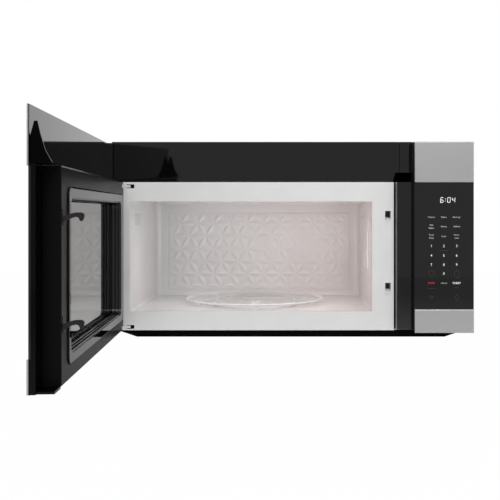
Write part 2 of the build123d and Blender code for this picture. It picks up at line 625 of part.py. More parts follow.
def waveguide():
    """Rectangular duct on the cavity's right-hand wall, open to the feed port."""
    duct = block(GUIDE_X, GUIDE_Y, GUIDE_Z)
    duct -= block((GUIDE_X[0] - 1, GUIDE_X[1] - 1.2), grown(GUIDE_Y, -1.2), grown(GUIDE_Z, -1.2))
    return duct - drum((GUIDE_X[1] - 2, TUBE_Y, TUBE_Z), (1, 0, 0), 10, 4)


def waveguide_cover():
    """Thin cover over the feed port, inside the cavity."""
    flat = Plane(origin=(CAVITY_X[1] - 1.4, TUBE_Y, TUBE_Z), x_dir=(0, 1, 0), z_dir=(1, 0, 0))
    return extrude(flat * RectangleRounded(110, 120, 8), amount=1.4)


def magnetron():
    """Magnetron: antenna, flange, finned anode in a yoke, and its filter box."""
    start = GUIDE_X[1]
    unit = drum((start - 18, TUBE_Y, TUBE_Z), (1, 0, 0), 8, 20)
    unit += block((start, start + 2), about(TUBE_Y, 92), about(TUBE_Z, 76))
    yoke = block((start + 2, start + 62), about(TUBE_Y, 76), about(TUBE_Z, 64))
    unit += yoke - block((start + 4, start + 60), about(TUBE_Y, 80), about(TUBE_Z, 60))
    unit += drum((start + 4, TUBE_Y, TUBE_Z), (1, 0, 0), 18, 56)
    for x in spread(start + 12, start + 52, 7):
        unit += block(about(x, 0.8), about(TUBE_Y, 66), about(TUBE_Z, 60))
    return unit + block((start + 62, start + 90), about(TUBE_Y, 50), about(TUBE_Z, 50))


def hv_transformer():
    """High-voltage transformer: laminated core, two windings and a foot plate."""
    x = BAY_LEFT + 94
    y = FRAME_BACK + 90
    z = BASE_TOP
    core = block(about(x, 84), about(y, 70), (z + 2, z + 92))
    core += block(about(x, 104), about(y, 70), (z, z + 2))
    for low, high in ((z + 18, z + 44), (z + 50, z + 76)):
        winding = block(about(x, 56), about(y, 112), (low, high))
        core += fillet(winding.edges().filter_by(Axis.Z), 12)
    return core


def hv_capacitor():
    """Oval high-voltage capacitor can with two terminals."""
    x = RIGHT - SHEET - 26
    y = FRAME_BACK + 80
    can = extrude(Plane((x, y, BASE_TOP)) * (Rot(0, 0, 90) * SlotOverall(88, 36)), amount=104)
    for side in (-1, 1):
        can += block(about(x, 6.3), about(y + side * 14, 0.8), (BASE_TOP + 103, BASE_TOP + 114))
    return can


def filter_board():
    """Mains filter board on four posts from the rear panel."""
    x = (BAY_LEFT + 112, RIGHT - SHEET - 8)
    z = (CASE_TOP - 90, CASE_TOP - 18)
    y = REAR_Y - 6
    board = block(x, (y - 1.6, y), z)
    for post_x in (x[0] + 6, x[1] - 6):
        for post_z in (z[0] + 6, z[1] - 6):
            board += drum((post_x, y, post_z), (0, 1, 0), 3, 6)
    board += drum((x[0] + 26, y - 14, z[0] + 34), (0, 1, 0), 13, 13)
    board += block((x[0] + 48, x[0] + 68), (y - 20, y - 1), (z[0] + 12, z[0] + 44))
    return board


# Turntable ---------------------------------------------------------------------------------

def turntable_motor():
    """Flat geared motor under the cavity floor, with fixing ears and a bored shaft housing."""
    top = RECESS_FLOOR - SHEET
    motor = drum((*TABLE, top - 18), (0, 0, 1), 24, 18)
    motor += block(about(TABLE[0], 66), about(TABLE[1], 10), (top - 1.2, top))
    return motor - drum((*TABLE, top - 14), (0, 0, 1), MOTOR_SHAFT + RUNNING, 20)


def turntable_coupler():
    """Shaft and three-lobed drive hub that the tray sits on."""
    hub_bottom = RECESS_FLOOR + 1.5
    coupler = drum((*TABLE, hub_bottom - 12), (0, 0, 1), MOTOR_SHAFT, 14)
    hub = drum((*TABLE, hub_bottom), (0, 0, 1), COUPLER_RADIUS - 5, TRAY_Z - hub_bottom)
    for index in range(3):
        angle = math.radians(120 * index)
        lobe_x = TABLE[0] + (COUPLER_RADIUS - 5) * math.cos(angle)
        lobe_y = TABLE[1] + (COUPLER_RADIUS - 5) * math.sin(angle)
        hub += drum((lobe_x, lobe_y, hub_bottom), (0, 0, 1), 5, TRAY_Z - hub_bottom)
    return coupler + hub


def glass_tray():
    """Round glass tray with a raised, sloping rim, turned from one section."""
    flat = TRAY_RADIUS - 26
    section = [
        (0, TRAY_Z),
        (flat, TRAY_Z),
        (TRAY_RADIUS - 3, TRAY_Z + TRAY_RIM),
        (TRAY_RADIUS, TRAY_Z + TRAY_RIM + 1.2),
        (TRAY_RADIUS, TRAY_Z + TRAY_RIM + TRAY_THICKNESS),
        (TRAY_RADIUS - 4, TRAY_Z + TRAY_RIM + TRAY_THICKNESS),
        (flat - 1, TRAY_Z + TRAY_THICKNESS),
        (0, TRAY_Z + TRAY_THICKNESS),
    ]
    outline = make_face(Polyline(*section, close=True))
    return Pos(*TABLE, 0) * revolve(Plane.XZ * outline, Axis.Z)


def roller_ring():
    """Flat ring with three stub axles for the rollers."""
    ring = drum((*TABLE, ROLLER_Z - 2), (0, 0, 1), RING_RADIUS, 4)
    ring -= drum((*TABLE, ROLLER_Z - 3), (0, 0, 1), RING_RADIUS - 5, 6)
    for index in range(3):
        along = roller_direction(index)
        inside = RING_RADIUS - 2
        start = (TABLE[0] + along[0] * inside, TABLE[1] + along[1] * inside, ROLLER_Z)
        ring += drum(start, along, ROLLER_AXLE, 3 + ROLLER_START - RING_RADIUS + ROLLER_LENGTH)
    return ring


def roller_direction(index):
    """Unit vector from the table's axis to one roller."""
    angle = math.radians(120 * index + 30)
    return (math.cos(angle), math.sin(angle), 0)


def roller(index):
    """Bored wheel that carries the tray."""
    along = roller_direction(index)
    start = (TABLE[0] + along[0] * ROLLER_START, TABLE[1] + along[1] * ROLLER_START, ROLLER_Z)
    wheel = drum(start, along, ROLLER_RADIUS, ROLLER_LENGTH)
    return wheel - drum(start, along, ROLLER_AXLE + RUNNING, ROLLER_LENGTH)


# Vent blower and cooling fan ----------------------------------------------------------------

def scroll(x, inset):
    """Blower casing section: a round lower part that opens into an upright outlet."""
    radius = SCROLL_RADIUS - inset
    body = drum((x[0], BLOWER_Y, BLOWER_Z), (1, 0, 0), radius, x[1] - x[0])
    top = CASE_TOP - SHEET + (5 if inset else 0)
    return body + block(x, about(BLOWER_Y, 2 * radius), (BLOWER_Z, top))


def blower_housing():
    """Twin scroll casing on a mounting plate, open upwards, with round inlets."""
    plate_x = grown((-SCROLL_SPREAD, SCROLL_SPREAD), 50)
    housing = block(plate_x, about(BLOWER_Y, 60), (BLOWER_FLOOR, BLOWER_FLOOR + 3.2))
    for side in (-1, 1):
        x = about(side * SCROLL_SPREAD, SCROLL_WIDTH)
        housing += scroll(x, 0)
    for side in (-1, 1):
        x = about(side * SCROLL_SPREAD, SCROLL_WIDTH)
        housing -= scroll(grown(x, -1.2), 1.2)
        inlet = (x[0] - 1, BLOWER_Y, BLOWER_Z)
        housing -= drum(inlet, (1, 0, 0), WHEEL_RADIUS * 0.8, SCROLL_WIDTH + 2)
    return housing


def blower_motor():
    """Motor between the scrolls on a foot, bored for the shaft."""
    motor = drum((-35, BLOWER_Y, BLOWER_Z), (1, 0, 0), 30, 70)
    foot = (BLOWER_FLOOR + 3.2, BLOWER_Z)
    motor += block(about(0, 30), about(BLOWER_Y, 40), foot)
    return motor - drum((-40, BLOWER_Y, BLOWER_Z), (1, 0, 0), SHAFT_RADIUS + RUNNING, 80)


def blower_wheel():
    """Two squirrel-cage wheels on one shaft, with forward-curved blades."""
    end = SCROLL_SPREAD + WHEEL_WIDTH / 2 + 4
    wheel = drum((-end, BLOWER_Y, BLOWER_Z), (1, 0, 0), SHAFT_RADIUS, 2 * end)
    blade_mid = WHEEL_RADIUS - BLADE_DEPTH / 2
    for side in (-1, 1):
        x = about(side * SCROLL_SPREAD, WHEEL_WIDTH)
        centre = (x[0] + x[1]) / 2
        disc = Plane((centre - 1, BLOWER_Y, BLOWER_Z), x_dir=(0, 1, 0), z_dir=(1, 0, 0))
        wheel += extrude(disc * RegularPolygon(WHEEL_RADIUS, BLADES), amount=2)
        for start in (x[0], x[1] - 2.5):
            edge = Plane((start, BLOWER_Y, BLOWER_Z), x_dir=(0, 1, 0), z_dir=(1, 0, 0))
            rim = RegularPolygon(WHEEL_RADIUS, BLADES) - RegularPolygon(WHEEL_RADIUS - BLADE_DEPTH, BLADES)
            wheel += extrude(edge * rim, amount=2.5)
        blades = []
        for index in range(BLADES):
            turn = Pos(centre, BLOWER_Y, BLOWER_Z) * Rot(360 * index / BLADES, 0, 0)
            blades.append(turn * Pos(0, blade_mid, 0) * Rot(38, 0, 0) * Box(WHEEL_WIDTH - 3, BLADE_DEPTH, 1.2))
        wheel += blades
    return wheel


def fan_shroud():
    """Upright plate with a round hole that the cooling fan turns in."""
    plate = block(about(FAN[0], 150), (FAN[1], FAN[1] + 1.5), (BASE_TOP, FAN[2] + 70))
    plate -= drum((FAN[0], FAN[1] - 1, FAN[2]), (0, 1, 0), FAN_RADIUS + 4, 4)
    return plate + block(about(FAN[0], 150), (FAN[1], FAN[1] + 14), (BASE_TOP, BASE_TOP + 1.5))


def cooling_motor():
    """Fan motor on two arms behind the shroud."""
    motor = drum((FAN[0], FAN[1] + 16, FAN[2]), (0, 1, 0), 22, 22)
    motor += block(about(FAN[0], 12), (FAN[1] + 16, FAN[1] + 18), about(FAN[2], 2 * FAN_RADIUS + 24))
    for side in (-1, 1):
        arm = about(FAN[2] + side * (FAN_RADIUS + 9), 6)
        motor += block(about(FAN[0], 12), (FAN[1] + 1.5, FAN[1] + 18), arm)
    return motor - drum((FAN[0], FAN[1] + 15, FAN[2]), (0, 1, 0), FAN_SHAFT + RUNNING, 24)


def cooling_fan():
    """Five-bladed fan on its shaft."""
    fan = drum((FAN[0], FAN[1] - 8, FAN[2]), (0, 1, 0), 12, 18)
    fan += drum((FAN[0], FAN[1], FAN[2]), (0, 1, 0), FAN_SHAFT, 36)
    for index in range(FAN_BLADES):
        turn = Pos(FAN[0], FAN[1] + 1, FAN[2]) * Rot(0, 360 * index / FAN_BLADES, 0)
        length = FAN_RADIUS - 11
        fan += turn * Pos(0, 0, 11 + length / 2) * Rot(0, 0, 32) * Box(26, 1.4, length)
    return fan


# Lamps ---------------------------------------------------------------------------------------

def lamp_lenses():
    """Two stepped glass lenses that lie in the bottom pan."""
    lenses = []
    for side in (-1, 1):
        x = side * LENS_SPREAD
        y = LENS_FROM_FRONT
        lens = block(about(x, LENS_SIZE[0]), about(y, LENS_SIZE[1]), (SHEET, SHEET + 2))
        lens += block(about(x, LENS_SIZE[0] - 8.6), about(y, LENS_SIZE[1] - 8.6), (0.2, SHEET))
        lenses.append(lens)
    return lenses


def cooktop_lamps():
    """Two lamp boards under the chassis, each with four light chips."""
    lamps = []
    for side in (-1, 1):
        x = side * LENS_SPREAD
        y = LENS_FROM_FRONT
        lamp = block(about(x, 56), about(y, 30), (SKIN_BOTTOM - 1.6, SKIN_BOTTOM))
        for place in spread(x - 18, x + 18, 4):
            lamp += block(about(place, 5), about(y, 5), (SKIN_BOTTOM - 3, SKIN_BOTTOM - 1.6))
        lamps.append(lamp)
    return lamps


def cavity_lamp():
    """Oven lamp in its holder outside the right-hand wall."""
    holder = block((BAY_LEFT, BAY_LEFT + 1.2), about(LAMP[1], 40), about(LAMP[2], 44))
    lamp = holder + drum(LAMP, (1, 0, 0), 11, 34)
    return lamp + drum((BAY_LEFT + 34, LAMP[1], LAMP[2]), (1, 0, 0), 14, 14)


# Hinges ----------------------------------------------------------------------------------------

def hinge_levels():
    """Height of each leaf and the way its pin points into the door."""
    return ((LOWER_LEAF_Z, 1), (UPPER_LEAF_Z, -1))


def hinge_brackets():
    """Two steel leaves on plates behind the front frame, each with its riveted pin."""
    brackets = []
    for z, inward in hinge_levels():
        leaf = drum((HINGE_X, HINGE_BACK, z - LEAF / 2), (0, 0, 1), LEAF_WIDTH / 2, LEAF)
        leaf += block(about(HINGE_X, LEAF_WIDTH), (HINGE_BACK, FRAME_BACK + 2), about(z, LEAF))
        root = (HINGE_X - LEAF_WIDTH / 2, HINGE_X + LEAF_ROOT)
        leaf += block(root, (FRAME_Y + GAP, FRAME_BACK + 2), about(z, LEAF + 1.8))
        plate_x = (FRAME_X[0] + FRAME_SHEET + 0.2, CAVITY_X[0] - LINER_FLANGE - 1)
        plate_z = (z - 5.6, z + 30) if inward > 0 else (z - 30, z + 5.6)
        leaf += block(plate_x, (FRAME_BACK, FRAME_BACK + 2), plate_z)
        leaf += drum((HINGE_X, HINGE_BACK, z), (0, 0, inward), PIN_RADIUS, PIN_LENGTH + LEAF / 2)
        leaf += drum((HINGE_X, HINGE_BACK, z), (0, 0, -inward), PIN_RADIUS + 1, LEAF / 2 + 1)
        brackets.append(leaf)
    return brackets


def hinge_bushes():
    """Flanged plastic bushes in the door that the pins turn in."""
    bushes = []
    for z, inward in hinge_levels():
        face = z + inward * (LEAF / 2 + GAP)
        flange = LEAF_POCKET - LEAF / 2 - GAP
        bush = drum((HINGE_X, HINGE_BACK, face), (0, 0, inward), PIN_RADIUS + BUSH_WALL, PIN_LENGTH)
        bush += drum((HINGE_X, HINGE_BACK, face), (0, 0, inward), PIN_RADIUS + BUSH_WALL + 1.5, flange)
        bore = drum((HINGE_X, HINGE_BACK, face - inward), (0, 0, inward), PIN_RADIUS + RUNNING, PIN_LENGTH + 3)
        bushes.append(bush - bore)
    return bushes


# Door --------------------------------------------------------------------------------------------

def door_frame():
    """Moulded carrier behind the glass and steel bands, with the floor of the pull."""
    x = (LEFT, DOOR_RIGHT)
    z = (SKIN_BOTTOM + 0.2, LINER_BOTTOM)
    frame = block(grown(x, -0.2), (GLASS_Y[1], FRAME_DEPTH), z)
    frame += band_backing(x, (SKIN_BOTTOM, GLASS_Z[0]))
    frame += band_backing(x, (GLASS_Z[1], SKIN_TOP))
    frame -= block(grown(x, 1), (TRIM_RETURN, GLASS_Y[1] + 1), (LINER_BOTTOM, HEIGHT))
    window = grown(WINDOW_X, 4), (GLASS_Y[1] - 1, FRAME_DEPTH + 1), grown(WINDOW_Z, 4)
    frame -= panel(*window, WINDOW_CORNER + 4)
    pull_x = (INNER_X[1], DOOR_RIGHT - 4.8)
    return frame + block(pull_x, (FRAME_DEPTH, PULL_FLOOR), (z[0], z[0] + PULL_FLOOR_THICKNESS))


def door_top_liner():
    """Glossy back of the top band, with its end wall, its shelf and the gusset of the pull."""
    x = (LEFT + 0.2, DOOR_RIGHT - 0.2)
    back = TRIM_RETURN + LINER_SHEET
    liner = block(x, (TRIM_RETURN, back), (LINER_BOTTOM, SKIN_TOP - 0.2))
    end_wall = (back, FRAME_DEPTH + END_WALL_PAST)
    liner += block((x[0], x[0] + DOOR_WALL), end_wall, (LINER_BOTTOM, SKIN_TOP - 0.2))
    shelf_z = (LINER_BOTTOM, LINER_BOTTOM + 2)
    reach = FRAME_DEPTH + GUSSET_REACH
    liner += block(x, (back, FRAME_DEPTH), shelf_z)
    liner += block((INNER_X[1] + 0.2, DOOR_RIGHT - 3.8), (FRAME_DEPTH, reach), shelf_z)
    gusset = [
        (TRIM_RETURN, LINER_BOTTOM),
        (reach, LINER_BOTTOM),
        (reach - 4.5, LINER_BOTTOM + 7.3),
        (reach - 10.9, LINER_BOTTOM + 19.1),
        (reach - 17.5, LINER_BOTTOM + 41.1),
        (GUSSET_TIP[1], LINER_BOTTOM + GUSSET_HEIGHT),
        (GUSSET_TIP[0], LINER_BOTTOM + GUSSET_HEIGHT),
        (TRIM_RETURN, LINER_BOTTOM + GUSSET_CUT),
    ]
    return liner + profile_along_x(gusset, (DOOR_RIGHT - 6.8, DOOR_RIGHT - 3.8))


def hinge_pocket(z):
    """Room in the inner case for a leaf through the door's whole swing."""
    depth = (HINGE_BACK - LEAF_WIDTH / 2 - 4, DOOR_DEPTH + 1)
    return block((INNER_X[0] - 1, HINGE_X + 13), depth, about(z, 2 * LEAF_POCKET))


def door_inner_case():
    """Inner side of the door: matt border plate with walls, hinge blocks and latch guides."""
    y = (FRAME_DEPTH, DOOR_DEPTH)
    case = block(INNER_X, y, INNER_Z)
    case = fillet(case.faces().sort_by(Axis.Y)[-1].edges(), 1.5)
    case -= block(grown(INNER_X, -DOOR_WALL), (y[0] - 1, y[1] - DOOR_WALL), grown(INNER_Z, -DOOR_WALL))
    opening = grown(WINDOW_X, SLEEVE), (y[0], y[1] + 1), grown(WINDOW_Z, SLEEVE)
    case -= panel(*opening, WINDOW_CORNER + SLEEVE)
    seat = grown(RING_X, RING_SEAM), (y[1] - RING_LET_IN, y[1] + 1), grown(RING_Z, RING_SEAM)
    case -= panel(*seat, WINDOW_CORNER + RING_SEAM)
    for z, inward in hinge_levels():
        far = z + inward * (LEAF_POCKET + 20)
        block_z = (min(z, far), max(z, far))
        inside = (max(block_z[0], INNER_Z[0]), min(block_z[1], INNER_Z[1]))
        case += block((INNER_X[0] + 1, HINGE_X + 12), (y[0], y[1] - 1), inside)
        case -= hinge_pocket(z)
        start = (HINGE_X, HINGE_BACK, z)
        case -= drum(start, (0, 0, inward), PIN_RADIUS + BUSH_WALL, GAP + LEAF / 2 + PIN_LENGTH)
    for z in (UPPER_HOOK_Z, LOWER_HOOK_Z):
        slot_z = (z - HOOK_HEIGHT / 2 - 1, z + HOOK_HEIGHT / 2 + LATCH_TRAVEL + 1)
        case -= block(about(HOOK_X, HOOK_THICKNESS + 1), (y[1] - DOOR_WALL - 1, y[1] + 1), slot_z)
    for z in (LOWER_HOOK_Z + 40, UPPER_HOOK_Z - 40):
        for x in ((HOOK_X - 5.5, HOOK_X - 2.4), (HOOK_X + 2.4, INNER_X[1] - 1)):
            case += block(x, (y[0] + 6, y[1] - 1), about(z, 12))
    groove_x = (INNER_X[1] - SIDE_GROOVE[0], INNER_X[1] + 1)
    case -= block(groove_x, (y[0] - 1, y[0] + SIDE_GROOVE[1]), (GLASS_Z[0] - 5, INNER_Z[1] + 1))
    spring_seat = (LATCH_BAR_Z[0] - SPRING_LENGTH - 3, LATCH_BAR_Z[0] - SPRING_LENGTH)
    return case + block((HOOK_X - 5.5, INNER_X[1] - 1), (y[0] + 6, y[1] - 1), spring_seat)


def choke_plate():
    """Steel door pan: centre sheet, recess wall, flange and a skirt cut into choke fingers."""
    back = (PANE_BACK - PANE_THICKNESS - SHEET, DOOR_DEPTH - DOOR_WALL)
    out = SLEEVE + SHEET
    plate = panel(grown(WINDOW_X, out), back, grown(WINDOW_Z, out), WINDOW_CORNER + out)
    hollow = grown(WINDOW_X, SLEEVE), (back[0] + SHEET, back[1] + 1), grown(WINDOW_Z, SLEEVE)
    rim = grown(WINDOW_X, CHOKE_REACH), grown(WINDOW_Z, CHOKE_REACH)
    skirt = panel(rim[0], (back[1] - 19, back[1]), rim[1], WINDOW_CORNER + CHOKE_REACH)
    inner_rim = grown(rim[0], -SHEET), (back[1] - 20, back[1] - SHEET), grown(rim[1], -SHEET)
    skirt -= panel(*inner_rim, WINDOW_CORNER + CHOKE_REACH - SHEET)
    plate = plate + skirt - panel(*hollow, WINDOW_CORNER + SLEEVE)
    return plate - choke_slots(rim, (back[1] - 20, back[1] - 5))


def choke_slots(rim, y):
    """Cutters for the slots between the choke fingers, along all four sides."""
    cutters = []
    corner = WINDOW_CORNER + CHOKE_REACH + 6
    x_count = int((rim[0][1] - rim[0][0] - 2 * corner) / CHOKE_PITCH) + 1
    z_count = int((rim[1][1] - rim[1][0] - 2 * corner) / CHOKE_PITCH) + 1
    for x in spread(rim[0][0] + corner, rim[0][1] - corner, x_count):
        for z in rim[1]:
            cutters.append(block(about(x, CHOKE_SLOT), y, about(z, 4)))
    for z in spread(rim[1][0] + corner, rim[1][1] - corner, z_count):
        for x in rim[0]:
            cutters.append(block(about(x, 4), y, about(z, CHOKE_SLOT)))
    return cutters


def choke_cover():
    """Glossy ring round the window with the deep, twice stepped wall of the recess."""
    front = DOOR_DEPTH + RING_PROUD
    ring = panel(RING_X, (DOOR_DEPTH - RING_LET_IN, front), RING_Z, WINDOW_CORNER)
    ring = fillet(ring.faces().sort_by(Axis.Y)[-1].edges(), 1.2)
    sleeve = grown(WINDOW_X, SLEEVE), (PANE_BACK, DOOR_DEPTH + 1), grown(WINDOW_Z, SLEEVE)
    ring += panel(*sleeve, WINDOW_CORNER + SLEEVE)
    floors = (front - RECESS_STEPS[0], front - RECESS_STEPS[1], PANE_BACK - 1)
    for floor, out in zip(floors, (2 * RECESS_STEP, RECESS_STEP, 0)):
        ring -= panel(grown(WINDOW_X, out), (floor, front + 1), grown(WINDOW_Z, out), WINDOW_CORNER + out)
    return ring


def window_pane():
    """Inner window pane at the bottom of the recess."""
    y = (PANE_BACK - PANE_THICKNESS, PANE_BACK)
    out = SLEEVE - 0.2
    return panel(grown(WINDOW_X, out), y, grown(WINDOW_Z, out), WINDOW_CORNER + out)


def latch_hooks():
    """Flat latch bar with two hooks that reach out of the door."""
    x = about(HOOK_X, HOOK_THICKNESS)
    bar = block(x, (20, DOOR_DEPTH - DOOR_WALL - GAP), LATCH_BAR_Z)
    half = HOOK_HEIGHT / 2
    for z in (UPPER_HOOK_Z, LOWER_HOOK_Z):
        barb = z + half - HOOK_HEAD
        hook = [
            (DOOR_DEPTH - 6, z + half - HOOK_RISE - HOOK_ARM),
            (DOOR_DEPTH, z + half - HOOK_RISE - HOOK_ARM),
            (HOOK_TIP - 16, barb + HOOK_NOTCH - 1),
            (HOOK_TIP - 11.5, barb + HOOK_NOTCH),
            (HOOK_TIP - 8, barb + HOOK_NOTCH - 1.5),
            (HOOK_TIP - 6, barb),
            (HOOK_TIP - 3, barb),
            (HOOK_TIP - 0.8, barb + 3.5),
            (HOOK_TIP, z + half - 4),
            (HOOK_TIP - 1.5, z + half - 1),
            (HOOK_TIP - 4, z + half),
            (HOOK_TIP - 12.5, z + half),
            (HOOK_TIP - 17, z + half - 1),
            (DOOR_DEPTH + 2, z + half - HOOK_RISE),
            (DOOR_DEPTH - 6, z + half - HOOK_RISE),
        ]
        bar += profile_along_x(hook, x)
    return bar


def latch_spring():
    """Return spring below the latch bar, drawn as a plain sleeve round its pin."""
    start = (HOOK_X, 27, LATCH_BAR_Z[0] - SPRING_LENGTH)
    spring = drum(start, (0, 0, 1), 3.5, SPRING_LENGTH - GAP)
    return spring - drum(start, (0, 0, 1), 2, SPRING_LENGTH)


def fixed_pieces():
    """Every piece that stays with the cabinet or turns on it, at its place."""
    control_x = (PANEL_LEFT, RIGHT)
    pieces = {
        "front_frame": front_frame(),
        "cavity_liner": cavity_liner(),
        "chassis_base": chassis_base(),
        "bottom_pan": bottom_pan(),
        "grease_filter_left": grease_filter(-1),
        "grease_filter_right": grease_filter(1),
        "outer_case": outer_case(),
        "rear_panel": rear_panel(),
        "vent_fascia": vent_fascia(),
        "fascia_end": fascia_end(),
        "vent_grille": vent_grille(),
        "charcoal_filter": charcoal_filter(),
        "cord_gland": cord_gland(),
        "case_screws": case_screws(),
        "control_frame": control_frame(),
        "control_trim_top": trim(control_x, (GLASS_Z[1], SKIN_TOP)),
        "control_trim_bottom": trim(control_x, (SKIN_BOTTOM, GLASS_Z[0])),
        "control_glass": touch_glass(control_x),
        "control_board": control_board(),
        "pocket_panel": pocket_panel(),
        "latch_cradle": latch_cradle(),
        "door_switches": door_switches(),
        "plunger_upper": plunger("upper"),
        "plunger_middle": plunger("middle"),
        "plunger_lower": plunger("lower"),
        "waveguide": waveguide(),
        "waveguide_cover": waveguide_cover(),
        "magnetron": magnetron(),
        "hv_transformer": hv_transformer(),
        "hv_capacitor": hv_capacitor(),
        "filter_board": filter_board(),
        "turntable_motor": turntable_motor(),
        "turntable_coupler": turntable_coupler(),
        "glass_tray": glass_tray(),
        "roller_ring": roller_ring(),
        "blower_housing": blower_housing(),
        "blower_motor": blower_motor(),
        "blower_wheel": blower_wheel(),
        "fan_shroud": fan_shroud(),
        "cooling_motor": cooling_motor(),
        "cooling_fan": cooling_fan(),
        "lamp_lenses": lamp_lenses(),
        "cooktop_lamps": cooktop_lamps(),
        "cavity_lamp": cavity_lamp(),
        "hinge_brackets": hinge_brackets(),
    }
    for index, name in enumerate(("roller_front", "roller_left", "roller_right")):
        pieces[name] = roller(index)
    return pieces


def door_pieces():
    """Every piece that swings with the door, drawn shut."""
    door_x = (LEFT, DOOR_RIGHT)
    return {
        "door_frame": door_frame(),
        "door_top_liner": door_top_liner(),
        "door_trim_top": trim(door_x, (GLASS_Z[1], SKIN_TOP)),
        "door_trim_bottom": trim(door_x, (SKIN_BOTTOM, GLASS_Z[0])),
        "door_glass": touch_glass(door_x),
        "door_inner_case": door_inner_case(),
        "choke_plate": choke_plate(),
        "choke_cover": choke_cover(),
        "window_pane": window_pane(),
        "hinge_bushes": hinge_bushes(),
        "latch_hooks": latch_hooks(),
        "latch_spring": latch_spring(),
    }


def write(name, piece, place):
    """Move a piece into the part's own frame and write it."""
    shapes = piece if isinstance(piece, list) else [piece]
    solids = [solid for shape in shapes for solid in (place * shape).solids()]
    whole = solids[0] if len(solids) == 1 else Compound(children=solids)
    export_step(whole, f"parts/{name}.step")


def main():
    """Write every piece: the cabinet as it stands, the door turned open."""
    os.makedirs("parts", exist_ok=True)
    to_wall = Pos(0, -DEPTH, -ORIGIN_Z)
    hinge = Pos(HINGE_X, HINGE_BACK, 0)
    swung = to_wall * hinge * Rot(0, 0, -DOOR_REST) * hinge.inverse()
    for name, piece in fixed_pieces().items():
        write(name, piece, to_wall)
    for name, piece in door_pieces().items():
        write(name, piece, swung)


main()
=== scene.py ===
import math

import bmesh
import bpy
import numpy as np
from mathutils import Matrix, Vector


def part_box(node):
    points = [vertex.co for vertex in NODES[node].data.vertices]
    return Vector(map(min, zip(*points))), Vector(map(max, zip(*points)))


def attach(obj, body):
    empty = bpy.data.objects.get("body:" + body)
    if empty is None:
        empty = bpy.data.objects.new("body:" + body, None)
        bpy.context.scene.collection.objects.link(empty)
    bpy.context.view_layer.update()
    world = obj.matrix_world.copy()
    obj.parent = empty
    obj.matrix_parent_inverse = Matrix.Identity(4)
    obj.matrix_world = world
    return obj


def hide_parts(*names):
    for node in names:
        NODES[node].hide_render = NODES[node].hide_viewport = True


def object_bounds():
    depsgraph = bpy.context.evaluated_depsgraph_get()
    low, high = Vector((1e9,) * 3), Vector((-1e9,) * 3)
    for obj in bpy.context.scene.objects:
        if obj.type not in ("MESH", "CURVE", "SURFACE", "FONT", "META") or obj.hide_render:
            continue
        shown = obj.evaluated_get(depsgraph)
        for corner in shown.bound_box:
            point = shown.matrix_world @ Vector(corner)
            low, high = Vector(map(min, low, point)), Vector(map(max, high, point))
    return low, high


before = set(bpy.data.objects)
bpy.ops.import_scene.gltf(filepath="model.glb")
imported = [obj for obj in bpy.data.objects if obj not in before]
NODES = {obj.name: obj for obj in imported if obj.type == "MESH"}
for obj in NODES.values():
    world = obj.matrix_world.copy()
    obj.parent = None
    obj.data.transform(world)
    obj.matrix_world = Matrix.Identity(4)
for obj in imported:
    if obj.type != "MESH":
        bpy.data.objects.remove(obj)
cad_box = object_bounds()

# Places and sizes --------------------------------------------------------------------------

# Unless said otherwise, X is the shared X, depths go back from the front skins and heights go
# up from the pan's underside. Places on the door are given for a shut door.

MM = 0.001
ORIGIN_DEPTH = 403 * MM          # the shared origin lies on the wall behind the case
ORIGIN_HEIGHT = 206.75 * MM      # and half way up
HINGE = (-365.6 * MM, 24.9 * MM)
DOOR_TURN = math.radians(-87)

CAVITY_X = (-340.9 * MM, 172.6 * MM)
CAVITY_Z = (54.0 * MM, 287.4 * MM)
CAVITY_BACK = 392.0 * MM
LAMP_WARMTH_LEFT, LAMP_WARMTH_WIDTH = -0.34, 0.51     # the cavity's left wall and its width, rounded: where the painted warm lamp light starts and how far it spreads

WINDOW_X = (-324.2 * MM, 156.8 * MM)
WINDOW_Z = (56.0 * MM, 282.6 * MM)
WINDOW_CORNER = 12.0 * MM
WELL_START, WELL_FALL = 39.8, 19.6      # millimetres: depth at the ring, and from there to the pane
WELL_LEAN = 3.4                         # millimetres that the wall leans in on that way
RING_X = (-351.2 * MM, 170.2 * MM)
RING_Z = (40.0 * MM, 299.5 * MM)
BEAD_X = (10 * MM, 212.4 * MM)
BEAD_CENTRE = (37.25, 327.45)           # depth and height in millimetres
BEAD_RADIUS = 1.05

STRAND_LEVEL, HOLE_LEVEL = -0.2051, -0.2039      # shared Z of the filters' mesh
FILTER_RIM = 9 * MM
DIAMOND = (8.4 * MM, 5.2 * MM)
STRAND_EDGE, STRAND_SLOPE = 0.15, 3.0
SCREW_RADIUS = 3.8 * MM
CROSS_HALF, CROSS_SLOPE = 0.72 * MM, 0.45 * MM
CROSS_REACH = 0.62                      # share of the head's radius
SCREW_PLACES = ((-349.5, -10), (-40, -10), (40, -10), (359.5, -10), (-363.5, -193), (363.5, -193))

COLUMNS = (291.6 * MM, 317.5 * MM, 344.0 * MM)
CLOCK_X, CLOCK_HEIGHT = 324.8 * MM, 289.3 * MM

# Shader building ---------------------------------------------------------------------------


